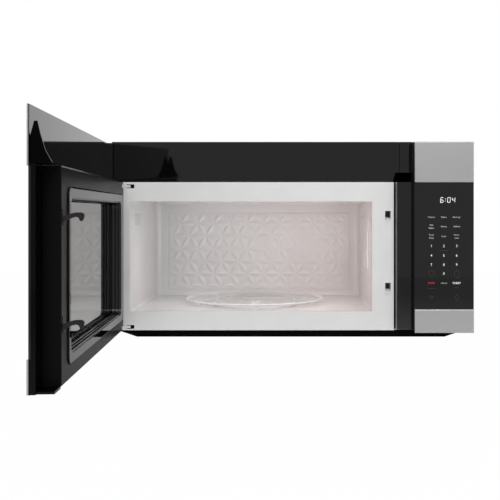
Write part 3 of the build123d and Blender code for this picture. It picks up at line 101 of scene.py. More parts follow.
class Wire:
    """One node output; arithmetic on it adds the Math node that does the sum."""

    def __init__(self, finish, socket):
        self.finish = finish
        self.socket = socket

    def maths(self, operation, *values):
        """A Math node over these values, in order."""
        numbered = dict(enumerate(values))
        return self.finish.node("Math", {"operation": operation}, numbered)

    def __add__(self, other):
        return self.maths("ADD", self, other)

    __radd__ = __add__

    def __sub__(self, other):
        return self.maths("SUBTRACT", self, other)

    def __rsub__(self, other):
        return self.maths("SUBTRACT", other, self)

    def __mul__(self, other):
        return self.maths("MULTIPLY", self, other)

    __rmul__ = __mul__

    def __truediv__(self, other):
        return self.maths("DIVIDE", self, other)

    def __rtruediv__(self, other):
        return self.maths("DIVIDE", other, self)

    def __pow__(self, other):
        return self.maths("POWER", self, other)

    def __gt__(self, other):
        return self.maths("GREATER_THAN", self, other)

    def __lt__(self, other):
        return self.maths("LESS_THAN", self, other)

    def __abs__(self):
        return self.maths("ABSOLUTE", self)

    def wave(self):
        """Sine of the value."""
        return self.maths("SINE", self)

    def fraction(self):
        """What is left above the whole number."""
        return self.maths("FRACT", self)

    def most(self, other):
        """The larger of two values."""
        return self.maths("MAXIMUM", self, other)


class Finish:
    """A node tree being filled; node() is the one way in."""

    def __init__(self, tree):
        self.tree = tree
        tree.nodes.clear()

    def node(self, kind, settings=None, sockets=None, outlet=0):
        """Adds a node, sets it, fills its sockets and gives back one output."""
        made = self.tree.nodes.new("ShaderNode" + kind)
        for key, value in (settings or {}).items():
            if key == "stops":
                stops = made.color_ramp.elements
                while len(stops) < len(value):
                    stops.new(0.5)
                for stop, (place, colour) in zip(stops, value):
                    stop.position = place
                    stop.color = colour
            else:
                setattr(made, key, value)
        for key, value in (sockets or {}).items():
            if isinstance(value, Wire):
                self.tree.links.new(value.socket, made.inputs[key])
            else:
                made.inputs[key].default_value = value
        return Wire(self, made.outputs[outlet]) if made.outputs else None

    def place(self, scale=(1, 1, 1), turn=(0, 0, 0)):
        """Object coordinates, stretched and turned."""
        point = self.node("TexCoord", outlet="Object")
        return self.node("Mapping", sockets={"Vector": point, "Rotation": turn, "Scale": scale})

    def axes(self, point):
        """The three numbers of a vector."""
        made = self.node("SeparateXYZ", sockets={0: point})
        outputs = made.socket.node.outputs
        return [Wire(self, outputs[index]) for index in range(3)]

    def noise(self, point, scale, detail=2.0, rough=0.5):
        """Noise about a half."""
        sockets = {"Vector": point, "Scale": scale, "Detail": detail, "Roughness": rough}
        return self.node("TexNoise", sockets=sockets, outlet="Fac")

    def cells(self, point, scale, outlet="Distance", feature="F1"):
        """Cell pattern: by default the distance to the nearest cell point."""
        settings = {"feature": feature}
        return self.node("TexVoronoi", settings, {"Vector": point, "Scale": scale}, outlet)

    def ramp(self, value, *stops):
        """Value to grey through straight-line stops."""
        greys = [(place, (grey, grey, grey, 1)) for place, grey in stops]
        return self.node("ValToRGB", {"stops": greys}, {0: value})

    def mix(self, factor, first, second):
        """One colour into another."""
        settings = {"data_type": "RGBA"}
        sockets = {0: factor, 6: opaque(first), 7: opaque(second)}
        return self.node("Mix", settings, sockets, 2)

    def bump(self, height, strength, depth=0.001, normal=None):
        """Surface normal from a height."""
        sockets = {"Height": height, "Strength": strength, "Distance": depth}
        if normal:
            sockets["Normal"] = normal
        return self.node("Bump", sockets=sockets)

    def surface(self, colour, rough, **others):
        """Principled surface wired to the output."""
        sockets = {"Base Color": opaque(colour), "Roughness": rough}
        sockets.update((key.replace("_", " "), value) for key, value in others.items())
        shader = self.node("BsdfPrincipled", sockets=sockets)
        self.node("OutputMaterial", sockets={"Surface": shader})


def opaque(colour):
    """A colour with its alpha, or the wire as it is."""
    return colour if isinstance(colour, Wire) else (*colour[:3], 1)


def finish(name):
    """A new material and the tree to fill."""
    material = bpy.data.materials.new(name)
    material.use_nodes = True
    return material, Finish(material.node_tree)


def grey(level):
    """A neutral colour."""
    return (level, level, level)


def shades(tree, point, scale, dark, light):
    """Slow drift between two colours."""
    drift = tree.ramp(tree.noise(point, scale, 3.0), (0.3, 0), (0.7, 1))
    return tree.mix(drift, dark, light)


# Finishes ----------------------------------------------------------------------------------


FLAT_ON = 0.985       # how much of a normal lies along one axis where a face is square to it
HINGE_HALF = -0.5     # shared Y that parts the hinge half of the open door from its far end


def lined_black(name, level):
    """Black liner of the door's top: the broad plate and the wall at the hinge end are
    polished, the gusset and the ribs are dull."""
    material, tree = finish(name)
    wave = tree.noise(tree.place(), 26, 2)
    side, front, _ = tree.axes(tree.node("TexCoord", outlet="Normal"))
    _, along, _ = tree.axes(tree.place())
    end_wall = (abs(front) > FLAT_ON) * (along > HINGE_HALF)
    polished = (abs(side) > FLAT_ON).most(end_wall) * 0.85
    colour = shades(tree, tree.place(), 6, grey(level * 0.8), grey(level * 1.2))
    constant = {"Specular_IOR_Level": 0.05, "Coat_Roughness": 0.02}
    normal = tree.bump(wave, 0.012, 0.002)
    tree.surface(colour, wave * 0.04 + 0.06, Normal=normal, Coat_Weight=polished, **constant)
    return material


def brushed_steel(name, dark, light):
    """Stainless skin: long fine grain along the width, with slow bands of tone."""
    material, tree = finish(name)
    fine = tree.noise(tree.place((7, 7, 2600)), 1.0, 4, 0.6)
    coarse = tree.noise(tree.place((3, 3, 420)), 1.0, 2)
    cloud = tree.noise(tree.place(), 7, 2)
    grain = fine * 0.8 + coarse * 0.2
    colour = tree.mix(tree.ramp(grain, (0.3, 0), (0.7, 1)), grey(dark), grey(light))
    rough = grain * 0.12 + cloud * 0.05 + 0.26
    tree.surface(colour, rough, Metallic=1.0, Normal=tree.bump(grain, 0.06, 0.0002))
    return material


def black_glass(name, level):
    """Back-painted glass: deep black under a hard clear surface, with faint smears."""
    material, tree = finish(name)
    smear = tree.ramp(tree.noise(tree.place((1, 1, 0.4)), 14, 4, 0.6), (0.45, 0), (0.8, 1))
    colour = tree.mix(smear, grey(level * 0.85), grey(level * 1.25))
    ripple = tree.noise(tree.place(), 3.0, 1)
    normal = tree.bump(ripple, 0.01, 0.001)
    tree.surface(colour, smear * 0.04 + 0.03, Normal=normal, IOR=1.5)
    return material


def gloss_black(name, level, peel, shine=0.5, lean=0.0):
    """Glossy moulded black: slight waviness from the tool and hairline scuffs. Lean tips the
    mirror forward, as a face that bows a little from top to bottom does."""
    material, tree = finish(name)
    wave = tree.noise(tree.place(), 26, 2)
    skin = tree.noise(tree.place(), 900, 2)
    scuff_line = tree.noise(tree.place((14, 14, 700), (0.35, 0.2, 0)), 1, 2)
    scuffs = tree.ramp(scuff_line, (0.66, 0), (0.74, 1))
    colour = shades(tree, tree.place(), 6, grey(level * 0.8), grey(level * 1.2))
    rough = scuffs * 0.04 + wave * 0.02 + 0.02
    facing = tree.node("NewGeometry", outlet="Normal")
    tipped = tree.node("VectorMath", {"operation": "ADD"}, {0: facing, 1: (0, 0, -lean)})
    even = tree.node("VectorMath", {"operation": "NORMALIZE"}, {0: tipped})
    normal = tree.bump(wave, peel, 0.002, tree.bump(skin, 0.01, 0.0002, even))
    tree.surface(colour, rough, Normal=normal, IOR=1.5, Specular_IOR_Level=shine)
    return material


def grained_plastic(name, level, rough, scale=1500, strength=0.35, shine=0.5):
    """Spark-eroded moulded texture: fine even pits over a matt base."""
    material, tree = finish(name)
    point = tree.place()
    pits = tree.cells(point, scale)
    mottle = tree.noise(point, 240, 3)
    colour = tree.mix(tree.ramp(pits, (0.1, 0), (0.6, 1)), grey(level * 0.78), grey(level * 1.16))
    normal = tree.bump(pits * 0.7 + mottle * 0.3, strength, 0.0004)
    tree.surface(colour, mottle * 0.12 + (rough - 0.06), Normal=normal, Specular_IOR_Level=shine)
    return material


def cavity_enamel(name):
    """Oven enamel: orange-peel skin, cool grey-white at the left, with the cavity lamp's warm light painted
    in, warmer and a little brighter toward the right.
    """
    material, tree = finish(name)
    skin = tree.noise(tree.place(), 700, 3, 0.55)
    patch = tree.ramp(tree.noise(tree.place(), 11, 2), (0.35, 0), (0.65, 1))
    across, _, _ = tree.axes(tree.place())
    # painted warm lamp light: the colour grows warmer and brighter from the left wall toward the lamp at
    # the right
    painted_lamp_warmth = tree.ramp((across - LAMP_WARMTH_LEFT) / LAMP_WARMTH_WIDTH, (0.1, 0), (0.8, 1))
    low = tree.mix(painted_lamp_warmth, (0.71, 0.70, 0.70), (0.80, 0.735, 0.725))
    high = tree.mix(painted_lamp_warmth, (0.74, 0.73, 0.73), (0.83, 0.77, 0.76))
    normal = tree.bump(skin, 0.14, 0.0004)
    constant = {"Coat_Weight": 0.4, "Coat_Roughness": 0.08}
    tree.surface(tree.mix(patch, low, high), skin * 0.1 + 0.21, Normal=normal, **constant)
    return material


def powder_coat(name, colour_low, colour_high, rough, peel=0.25, coat=0.0, shine=0.5):
    """Stoved paint on sheet: orange-peel skin with a slow change of tone."""
    material, tree = finish(name)
    point = tree.place()
    skin = tree.noise(point, 700, 3, 0.55)
    patch = tree.noise(point, 11, 2)
    colour = tree.mix(tree.ramp(patch, (0.35, 0), (0.65, 1)), colour_low, colour_high)
    normal = tree.bump(skin, peel, 0.0004)
    constant = {"Coat_Weight": coat, "Coat_Roughness": 0.08, "Specular_IOR_Level": shine}
    tree.surface(colour, skin * 0.1 + (rough - 0.05), Normal=normal, **constant)
    return material


def bare_metal(name, low, high, rough, spangle=0.0):
    """Unpainted sheet or casting: rolled marks, and zinc spangle where it is galvanised."""
    material, tree = finish(name)
    roll = tree.noise(tree.place((60, 60, 60)), 6, 4, 0.6)
    flakes = tree.cells(tree.place(), 130, "Color")
    tone = tree.node("RGBToBW", sockets={0: flakes})
    blend = roll * (1 - spangle) + tone * spangle
    colour = tree.mix(tree.ramp(blend, (0.25, 0), (0.75, 1)), low, high)
    normal = tree.bump(roll, 0.12, 0.0004)
    tree.surface(colour, blend * 0.18 + (rough - 0.09), Metallic=1.0, Normal=normal)
    return material


def expanded_metal(name, strand, hole):
    """Expanded sheet: strands that hang at the lower level are bright bare metal; the holes above are
    painted dark as the shade seen through them.
    """
    material, tree = finish(name)
    _, _, up = tree.axes(tree.place())
    # painted shade: the raised hole places are coloured near-black for the dark seen through real holes
    painted_hole_shade = tree.ramp((up - strand) / (hole - strand), (0.35, 0), (0.85, 1))
    roll = tree.noise(tree.place((60, 60, 60)), 6, 3, 0.6)
    colour = tree.mix(painted_hole_shade, grey(0.62), grey(0.06))
    tree.surface(colour, roll * 0.16 + 0.28, Metallic=1.0, Normal=tree.bump(roll, 0.12, 0.0003))
    return material


def clear_glass(name, tint, rough, body, rim=None):
    """Pressed clear glass with faint flow waves: a little of it is seen, the rest lets light by.
    A round piece gives its centre and radius in rim: its thick edge gets a painted dark line and a painted
    highlight line."""
    material, tree = finish(name)
    flow = tree.noise(tree.place(), 9, 1)
    haze = tree.ramp(tree.noise(tree.place(), 60, 3), (0.5, 0), (0.9, 1))
    colour = tree.mix(haze, tint, tuple(channel * 0.97 for channel in tint))
    edge = tree.node("LayerWeight", sockets={"Blend": 0.25}, outlet="Facing")
    normal = tree.bump(flow, 0.02, 0.0006)
    seen = edge * 0.2 + body
    if rim:
        across, along, _ = tree.axes(tree.place())
        away = (((across - rim[0]) ** 2 + (along - rim[1]) ** 2) ** 0.5) / rim[2]
        # painted highlight and painted dark line along the rim, in place of the glint and shade of the
        # thick glass edge
        pale = tree.ramp(away, (0.955, 0), (0.975, 1))
        line = tree.ramp(away, (0.90, 0), (0.925, 1), (0.95, 0))
        colour = tree.mix(line, tree.mix(pale, colour, grey(0.93)), grey(0.42))
        seen = seen + pale * 0.3 + line * 0.3
    tree.surface(colour, haze * 0.03 + rough, Normal=normal, IOR=1.5, Alpha=seen)
    material.surface_render_method = "BLENDED"
    return material


def window_glass():
    """Window pane over the perforated screen: fine round holes show under the gloss."""
    material, tree = finish("window_screen_glass")
    _, along, up = tree.axes(tree.place())
    pitch, hole_radius = 2.6 * MM, 0.3
    row = up / pitch
    shifted = along / pitch + ((row * 0.5).fraction() > 0.5) * 0.5
    across = shifted.fraction() - 0.5
    rise = row.fraction() - 0.5
    hole = (across * across + rise * rise) < hole_radius ** 2
    colour = tree.mix(hole, grey(0.012), grey(0.003))
    wave = tree.noise(tree.place(), 4, 1)
    normal = tree.bump(wave, 0.03, 0.001)
    constant = {"IOR": 1.52, "Coat_Weight": 1.0, "Coat_Roughness": 0.03}
    tree.surface(colour, wave * 0.02 + 0.02, Normal=normal, **constant)
    return material


def circuit(name):
    """Green board with printed tracks and solder points."""
    material, tree = finish(name)
    point = tree.place()
    lanes = tree.cells(point, 260, "Distance", "DISTANCE_TO_EDGE")
    track = tree.ramp(lanes, (0.02, 1), (0.05, 0))
    solder = tree.ramp(tree.cells(point, 330), (0.08, 1), (0.14, 0))
    board = tree.mix(track, (0.008, 0.06, 0.025), (0.02, 0.16, 0.06))
    colour = tree.mix(solder, board, (0.6, 0.6, 0.58))
    normal = tree.bump(track + solder, 0.4, 0.0004)
    tree.surface(colour, 0.35 - solder * 0.1, Metallic=solder, Normal=normal)
    return material


def windings(name):
    """Enamelled copper coils between varnished steel laminations."""
    material, tree = finish(name)
    _, _, up = tree.axes(tree.place())
    turns = (up * 5200).wave() * 0.5 + 0.5
    patch = tree.noise(tree.place(), 40, 2)
    colour = tree.mix(turns, (0.10, 0.045, 0.018), (0.34, 0.15, 0.055))
    shaded = tree.mix(patch * 0.5, colour, (0.05, 0.045, 0.04))
    tree.surface(shaded, turns * 0.15 + 0.3, Metallic=0.6, Normal=tree.bump(turns, 0.6, 0.0005))
    return material


def mica_sheet(name):
    """Pressed mica board: pale flakes lying in the sheet."""
    material, tree = finish(name)
    flakes = tree.cells(tree.place(), 190, "Color")
    tone = tree.node("RGBToBW", sockets={0: flakes})
    fleck = tree.noise(tree.place(), 420, 3)
    colour = tree.mix(tone * 0.6 + fleck * 0.4, (0.72, 0.67, 0.655), (0.78, 0.73, 0.72))
    tree.surface(colour, tone * 0.2 + 0.35, Normal=tree.bump(tone, 0.15, 0.0004))
    return material


def carbon_pad(name):
    """Charcoal granules packed in a tray."""
    material, tree = finish(name)
    grains = tree.cells(tree.place(), 420)
    colour = tree.mix(tree.ramp(grains, (0.05, 0), (0.5, 1)), grey(0.004), grey(0.03))
    tree.surface(colour, grains * 0.3 + 0.5, Normal=tree.bump(grains, 0.9, 0.0015))
    return material


def glow(name, colour, strength):
    """Glowing face, slightly uneven across it: a lit segment behind glass, and a painted glow on the
    printed legends that use it.
    """
    material, tree = finish(name)
    uneven = tree.noise(tree.place(), 700, 2)
    lit = tree.mix(uneven, colour, tuple(channel * 0.82 for channel in colour))
    tree.surface(lit, uneven * 0.1 + 0.3, Emission_Color=lit, Emission_Strength=strength)
    return material


def print_ink(name, colour):
    """Screen-printed ink: a little thin in places."""
    material, tree = finish(name)
    thin = tree.noise(tree.place(), 900, 3)
    worn = tuple(channel * 0.8 for channel in colour)
    tone = tree.mix(tree.ramp(thin, (0.3, 0), (0.6, 1)), worn, colour)
    tree.surface(tone, thin * 0.2 + 0.3)
    return material


STEEL_PANEL = brushed_steel("stainless_panel", 0.47, 0.53)
STEEL_DOOR = brushed_steel("stainless_door", 0.47, 0.54)
GLASS_BLACK = black_glass("black_glass", 0.004)
GLOSS = gloss_black("gloss_black", 0.0022, 0.012)
GLOSS_DOOR = gloss_black("gloss_black_door", 0.0012, 0.012)
GLOSS_EDGE = gloss_black("gloss_black_edge", 0.0008, 0.012, 0.12)
LINER = lined_black("gloss_black_liner", 0.0006)
GLOSS_FASCIA = gloss_black("gloss_black_fascia", 0.0022, 0.006, lean=0.03)
# near-black matt material for painted shade: put in gaps, creases and grooves where shadow falls
SHADE_BLACK = grained_plastic("black_painted_shade", 0.0005, 0.9, 500, 0.6, 0.0)
SATIN = grained_plastic("satin_black_moulding", 0.006, 0.42, shine=0.3)
BORDER = grained_plastic("matt_border", 0.004, 0.3, 900, 0.12, 0.04)
WELL = grained_plastic("recess_black", 0.010, 0.22, 900, 0.05, 0.6)
HOOK_GREY = grained_plastic("hook_nylon", 0.008, 0.4, 700, 0.2, 0.3)
CASE_PAINT = powder_coat("case_paint", grey(0.010), grey(0.015), 0.38)
PAN_PAINT = powder_coat("pan_paint", grey(0.0006), grey(0.0012), 0.4, shine=0.03)
FRAME_PAINT = powder_coat("frame_enamel", (0.68, 0.68, 0.675), (0.72, 0.72, 0.715), 0.32, 0.12, 0.3)
CAVITY_PAINT = cavity_enamel("cavity_enamel")
ZINC = bare_metal("zinc_sheet", (0.45, 0.46, 0.47), (0.60, 0.61, 0.62), 0.42, 0.45)
SPRING = bare_metal("spring_steel", (0.36, 0.36, 0.37), (0.5, 0.5, 0.5), 0.3)
ALUMINIUM = bare_metal("filter_aluminium", (0.6, 0.6, 0.61), (0.78, 0.78, 0.79), 0.36)
EXPANDED = expanded_metal("expanded_aluminium", STRAND_LEVEL, HOLE_LEVEL)
TRAY_LOW, TRAY_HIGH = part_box("glass_tray")
TRAY_RADIUS = (TRAY_HIGH.x - TRAY_LOW.x) / 2
TRAY_CENTRE = ((TRAY_LOW.x + TRAY_HIGH.x) / 2, (TRAY_LOW.y + TRAY_HIGH.y) / 2)
TRAY_GLASS = clear_glass("tray_glass", (0.80, 0.81, 0.80), 0.03, 0.12, (*TRAY_CENTRE, TRAY_RADIUS))
LENS = clear_glass("lamp_lens", (0.75, 0.76, 0.75), 0.28, 0.45)
WINDOW = window_glass()
WHITE_NYLON = powder_coat("white_nylon", grey(0.62), grey(0.68), 0.42, 0.1)
GREY_NYLON = powder_coat("grey_nylon", grey(0.16), grey(0.2), 0.45, 0.1)
BOARD = circuit("control_board_green")
COIL = windings("coil_copper")
MICA = mica_sheet("waveguide_sheet")
CHARCOAL = carbon_pad("charcoal_pad")
DIGIT_GLOW = glow("display_white", (0.92, 0.96, 1.0), 1.0)
# the printed legends below glow by emission: a painted glow, as their ink is not lit from behind
INK_WHITE_PAINTED_GLOW = glow("legend_white_painted_glow", grey(0.75), 0.55)
INK_SOFT_PAINTED_GLOW = glow("legend_grey_painted_glow", grey(0.5), 0.38)
INK_FAINT = print_ink("legend_faint", grey(0.028))
INK_RED_PAINTED_GLOW = glow("legend_red_painted_glow", (0.55, 0.03, 0.04), 0.35)

FINISH_OF = {
    "front_frame": FRAME_PAINT,
    "cavity_liner": CAVITY_PAINT,
    "chassis_base": ZINC,
    "bottom_pan": PAN_PAINT,
    "grease_filter_left": ALUMINIUM,
    "grease_filter_right": ALUMINIUM,
    "outer_case": CASE_PAINT,
    "rear_panel": ZINC,
    "vent_fascia": GLOSS_FASCIA,
    "fascia_end": GLOSS,
    "vent_grille": SATIN,
    "charcoal_filter": CHARCOAL,
    "cord_gland": SATIN,
    "case_screws": ZINC,
    "control_frame": SATIN,
    "control_trim_top": STEEL_PANEL,
    "control_trim_bottom": STEEL_PANEL,
    "control_glass": GLASS_BLACK,
    "control_board": BOARD,
    "pocket_panel": GLOSS,
    "latch_cradle": WHITE_NYLON,
    "door_switches": GREY_NYLON,
    "plunger_upper": WHITE_NYLON,
    "plunger_middle": WHITE_NYLON,
    "plunger_lower": WHITE_NYLON,
    "waveguide": ZINC,
    "waveguide_cover": MICA,
    "magnetron": ZINC,
    "hv_transformer": COIL,
    "hv_capacitor": ALUMINIUM,
    "filter_board": BOARD,
    "turntable_motor": ZINC,
    "turntable_coupler": WHITE_NYLON,
    "glass_tray": TRAY_GLASS,
    "roller_ring": WHITE_NYLON,
    "roller_front": WHITE_NYLON,
    "roller_left": WHITE_NYLON,
    "roller_right": WHITE_NYLON,
    "blower_housing": ZINC,
    "blower_motor": SPRING,
    "blower_wheel": SATIN,
    "fan_shroud": SATIN,
    "cooling_motor": COIL,
    "cooling_fan": WHITE_NYLON,
    "lamp_lenses": LENS,
    "cooktop_lamps": DIGIT_GLOW,
    "cavity_lamp": ALUMINIUM,
    "hinge_brackets": FRAME_PAINT,
    "door_frame": GLOSS_EDGE,
    "door_top_liner": LINER,
    "door_trim_top": STEEL_DOOR,
    "door_trim_bottom": STEEL_DOOR,
    "door_glass": GLASS_BLACK,
    "door_inner_case": BORDER,
    "choke_plate": ZINC,
    "choke_cover": GLOSS_DOOR,
    "window_pane": WINDOW,
    "hinge_bushes": WHITE_NYLON,
    "latch_spring": SPRING,
    "latch_hooks": HOOK_GREY,
}
for node_name, node in NODES.items():
    node.data.materials.clear()
    node.data.materials.append(FINISH_OF[node_name])

# Mesh building -----------------------------------------------------------------------------


CREASE = math.radians(40)


def mesh_object(name, points, faces, material, body, smooth=True):
    """A mesh at the origin with its place in its vertices, riding on a body. Its faces are
    turned to look outward."""
    mesh = bpy.data.meshes.new(name)
    mesh.from_pydata(points, [], faces)
    tidy = bmesh.new()
    tidy.from_mesh(mesh)
    bmesh.ops.remove_doubles(tidy, verts=tidy.verts, dist=1e-6)
    bmesh.ops.dissolve_degenerate(tidy, edges=tidy.edges, dist=1e-7)
    bmesh.ops.recalc_face_normals(tidy, faces=tidy.faces)
    tidy.to_mesh(mesh)
    tidy.free()
    mesh.materials.append(material)
    mesh.polygons.foreach_set("use_smooth", [smooth] * len(mesh.polygons))
    mesh.set_sharp_from_angle(angle=CREASE)
    mesh.update()
    made = bpy.data.objects.new(name, mesh)
    bpy.context.scene.collection.objects.link(made)
    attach(made, body)
    return made


def grid_faces(rows, columns, wrap_rows=False, wrap_columns=False):
    """Quads over a grid of points, joined round where asked."""
    down = np.arange(rows if wrap_rows else rows - 1)
    across = np.arange(columns if wrap_columns else columns - 1)
    low, left = np.meshgrid(down, across, indexing="ij")
    high = (low + 1) % rows
    right = (left + 1) % columns
    corners = (low * columns + left, low * columns + right, high * columns + right, high * columns + left)
    return np.stack([corner.ravel() for corner in corners], axis=1)


def turned(name, section, centre, steps, material, body):
    """A section of (radius, height) pairs carried round a vertical axis: x and y are the
    radius times the cosine and sine of the angle. The section runs from axis to axis."""
    section = np.array(section)
    angle = np.linspace(0, 2 * math.pi, steps, endpoint=False)
    radius, height = section[:, 0], section[:, 1]
    x = centre[0] + radius[:, None] * np.cos(angle)
    y = centre[1] + radius[:, None] * np.sin(angle)
    z = centre[2] + np.repeat(height[:, None], steps, axis=1)
    points = np.stack([x, y, z], axis=-1).reshape(-1, 3)
    faces = grid_faces(len(section), steps, wrap_columns=True)
    return mesh_object(name, points.tolist(), faces.tolist(), material, body)


def slab(name, front, back, material, body):
    """A closed piece between two grids of places: the front as it is, the back turned round,
    and a side along each border."""
    rows, columns = front.shape[:2]
    count = rows * columns
    faces = grid_faces(rows, columns)
    index = np.arange(count).reshape(rows, columns)
    border = np.concatenate([index[0, :-1], index[:-1, -1], index[-1, :0:-1], index[:0:-1, 0]])
    following = np.roll(border, -1)
    sides = np.stack([border, border + count, following + count, following], axis=1)
    faces = np.concatenate([faces, faces[:, ::-1] + count, sides])
    points = np.concatenate([front.reshape(-1, 3), back.reshape(-1, 3)])
    return mesh_object(name, points.tolist(), faces.tolist(), material, body)


def from_border(across, along):
    """Distance from each place of an even grid to the nearest side of that grid."""
    sides = (across - across.min(), across.max() - across, along - along.min(), along.max() - along)
    return np.minimum.reduce(sides)


def shared(points, body):
    """Places given as x, depth behind the front skins and height over the pan, put in the
    shared frame. Door places are given for a shut door and turned about the hinge line."""
    x, depth, height = np.moveaxis(np.asarray(points, float), -1, 0)
    if body == "door":
        out, back = x - HINGE[0], depth - HINGE[1]
        x = HINGE[0] + out * math.cos(DOOR_TURN) - back * math.sin(DOOR_TURN)
        depth = HINGE[1] + out * math.sin(DOOR_TURN) + back * math.cos(DOOR_TURN)
    return np.stack([x, depth - ORIGIN_DEPTH, height - ORIGIN_HEIGHT], axis=-1)


def rounded_path(x, z, corner, steps=8):
    """Places and outward directions round a rectangle: each corner turns the direction through
    a quarter circle of the given radius, and straight sides join the corners."""
    quarter = np.linspace(0, math.pi / 2, steps)
    angle = np.concatenate([quarter + turn * math.pi / 2 for turn in range(4)])
    outward = np.stack([np.cos(angle), np.sin(angle)], axis=1)
    centre_x = np.repeat([x[1] - corner, x[0] + corner, x[0] + corner, x[1] - corner], steps)
    centre_z = np.repeat([z[1] - corner, z[1] - corner, z[0] + corner, z[0] + corner], steps)
    return np.stack([centre_x, centre_z], axis=1) + outward * corner, outward


def swept(name, path, outward, section, material, body):
    """A closed section of (offset, depth) pairs carried round a closed path: each place is
    the path's place plus the offset along its outward direction, at the section's depth."""
    offset, depth = np.asarray(section).T
    flat = path[:, None, :] + outward[:, None, :] * offset[None, :, None]
    deep = np.broadcast_to(depth, flat.shape[:2])
    points = shared(np.stack([flat[..., 0], deep, flat[..., 1]], axis=-1), body)
    faces = grid_faces(len(path), len(offset), wrap_rows=True, wrap_columns=True)
    return mesh_object(name, points.reshape(-1, 3).tolist(), faces.tolist(), material, body)


def prism(name, outline, limits, along, material, body, smooth=False):
    """An outline carried straight along one axis, closed by a flat face at either end. The
    outline gives the two other coordinates in their order x, depth, height."""
    outline = np.asarray(outline, float)
    ends = [np.insert(outline, along, limit, axis=1) for limit in limits]
    points = shared(np.concatenate(ends), body)
    count = len(outline)
    ring = np.arange(count)
    following = np.roll(ring, -1)
    sides = np.stack([ring, following, following + count, ring + count], axis=1)
    faces = sides.tolist() + [ring[::-1].tolist(), (ring + count).tolist()]
    return mesh_object(name, points.tolist(), faces, material, body, smooth)


# Cavity back wall --------------------------------------------------------------------------

cavity_low, cavity_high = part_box("cavity_liner")
BACK_WALL_Y = cavity_high.y - 1 * MM
PATTERN_X = (cavity_low.x + 36 * MM, cavity_high.x - 29 * MM)
PATTERN_Z = (-138 * MM, 57 * MM)
PATTERN_START = (12 * MM, 8 * MM)
PETAL_PITCH = 41.7 * MM
PETAL_ROW = 32.0 * MM
PETAL_HALF = 6.8 * MM
PETAL_PRESS, PETAL_LOSS = 1.4 * MM, 0.7 * MM
SHEET_EDGE, LEDGE_RISE, LEDGE_WIDTH = 0.3 * MM, 0.9 * MM, 2.5 * MM


def petal_height(x, z):
    """Raised leaves along the sides of a lattice of triangles: each leaf is one minus the
    square of its distance from the side over its local half width, to a soft power; the
    half width swells as a sine from one lattice point to the next. The tallest leaf wins."""
    height = np.zeros_like(x)
    sides = ((PETAL_PITCH, 0.0), (PETAL_PITCH / 2, PETAL_ROW), (-PETAL_PITCH / 2, PETAL_ROW))
    row_pitch = 2 * PETAL_ROW
    for run, rise in sides:
        length = math.hypot(run, rise)
        for start_x, start_z in ((0.0, 0.0), (PETAL_PITCH / 2, PETAL_ROW)):
            for wrap_x in (-1, 0, 1):
                for wrap_z in (-1, 0, 1):
                    local_x = np.mod(x - start_x, PETAL_PITCH) + wrap_x * PETAL_PITCH
                    local_z = np.mod(z - start_z, row_pitch) + wrap_z * row_pitch
                    along = (local_x * run + local_z * rise) / length
                    away = np.abs(local_x * rise - local_z * run) / length
                    share = along / length
                    inside = (share > 0.04) & (share < 0.96)
                    half = PETAL_HALF * np.sin(math.pi * np.clip(share, 0.04, 0.96))
                    leaf = np.where(inside, np.clip(1 - (away / half) ** 2, 0, 1), 0) ** 1.6
                    height = np.maximum(height, leaf * np.sin(math.pi * np.clip(share, 0, 1)))
    return height


def back_wall():
    """Embossed panel of the cavity back: a flat sheet inside a smooth low ledge that stands
    forward by the petal height, lower toward the right and faded out near its border, closed
    by a flat back and its four sides."""
    columns, rows = 330, 150
    grid_x, grid_z = np.meshgrid(np.linspace(*PATTERN_X, columns), np.linspace(*PATTERN_Z, rows))
    right, up = grid_x - PATTERN_X[0], grid_z - PATTERN_Z[0]
    edge = from_border(grid_x, grid_z)
    fade = np.clip((edge - 5 * MM) / (6 * MM), 0, 1)
    rise = petal_height(right - PATTERN_START[0], up - PATTERN_START[1]) * fade
    share = right / (PATTERN_X[1] - PATTERN_X[0])
    press = PETAL_PRESS - PETAL_LOSS * np.clip(share * 1.6 - 0.5, 0, 1)
    ledge = np.clip(edge / LEDGE_WIDTH, 0, 1)
    depth = SHEET_EDGE + LEDGE_RISE * ledge * ledge * (3 - 2 * ledge) + press * rise
    front = np.stack([grid_x, BACK_WALL_Y - depth, grid_z], axis=-1)
    back = np.stack([grid_x, np.full_like(grid_x, BACK_WALL_Y - 0.02 * MM), grid_z], axis=-1)
    return slab("embossed_back_wall", front, back, CAVITY_PAINT, "cabinet")


back_wall()


def quarter_cove(corner, toward, radius, steps=9):
    """Outline of the fill in a square corner: the corner itself and a hollow quarter circle
    whose centre lies a radius from both walls."""
    angle = np.linspace(0, math.pi / 2, steps)
    curve = np.stack([1 - np.sin(angle), 1 - np.cos(angle)], axis=1) * radius * np.asarray(toward)
    return np.concatenate([[corner], np.asarray(corner) + curve])


def cavity_coves():
    """Soft corners where the cavity's side walls and floor meet its back wall."""
    for name, x, toward in (("left", CAVITY_X[0], 1), ("right", CAVITY_X[1], -1)):
        outline = quarter_cove((x, CAVITY_BACK), (toward, -1), 12 * MM)
        cove = prism("cavity_cove_" + name, outline, CAVITY_Z, 2, CAVITY_PAINT, "cabinet", True)
    outline = quarter_cove((CAVITY_BACK, CAVITY_Z[0]), (-1, 1), 8 * MM)
    cove = prism("cavity_cove_floor", outline, CAVITY_X, 0, CAVITY_PAINT, "cabinet", True)


cavity_coves()

# Door window and gaps ----------------------------------------------------------------------


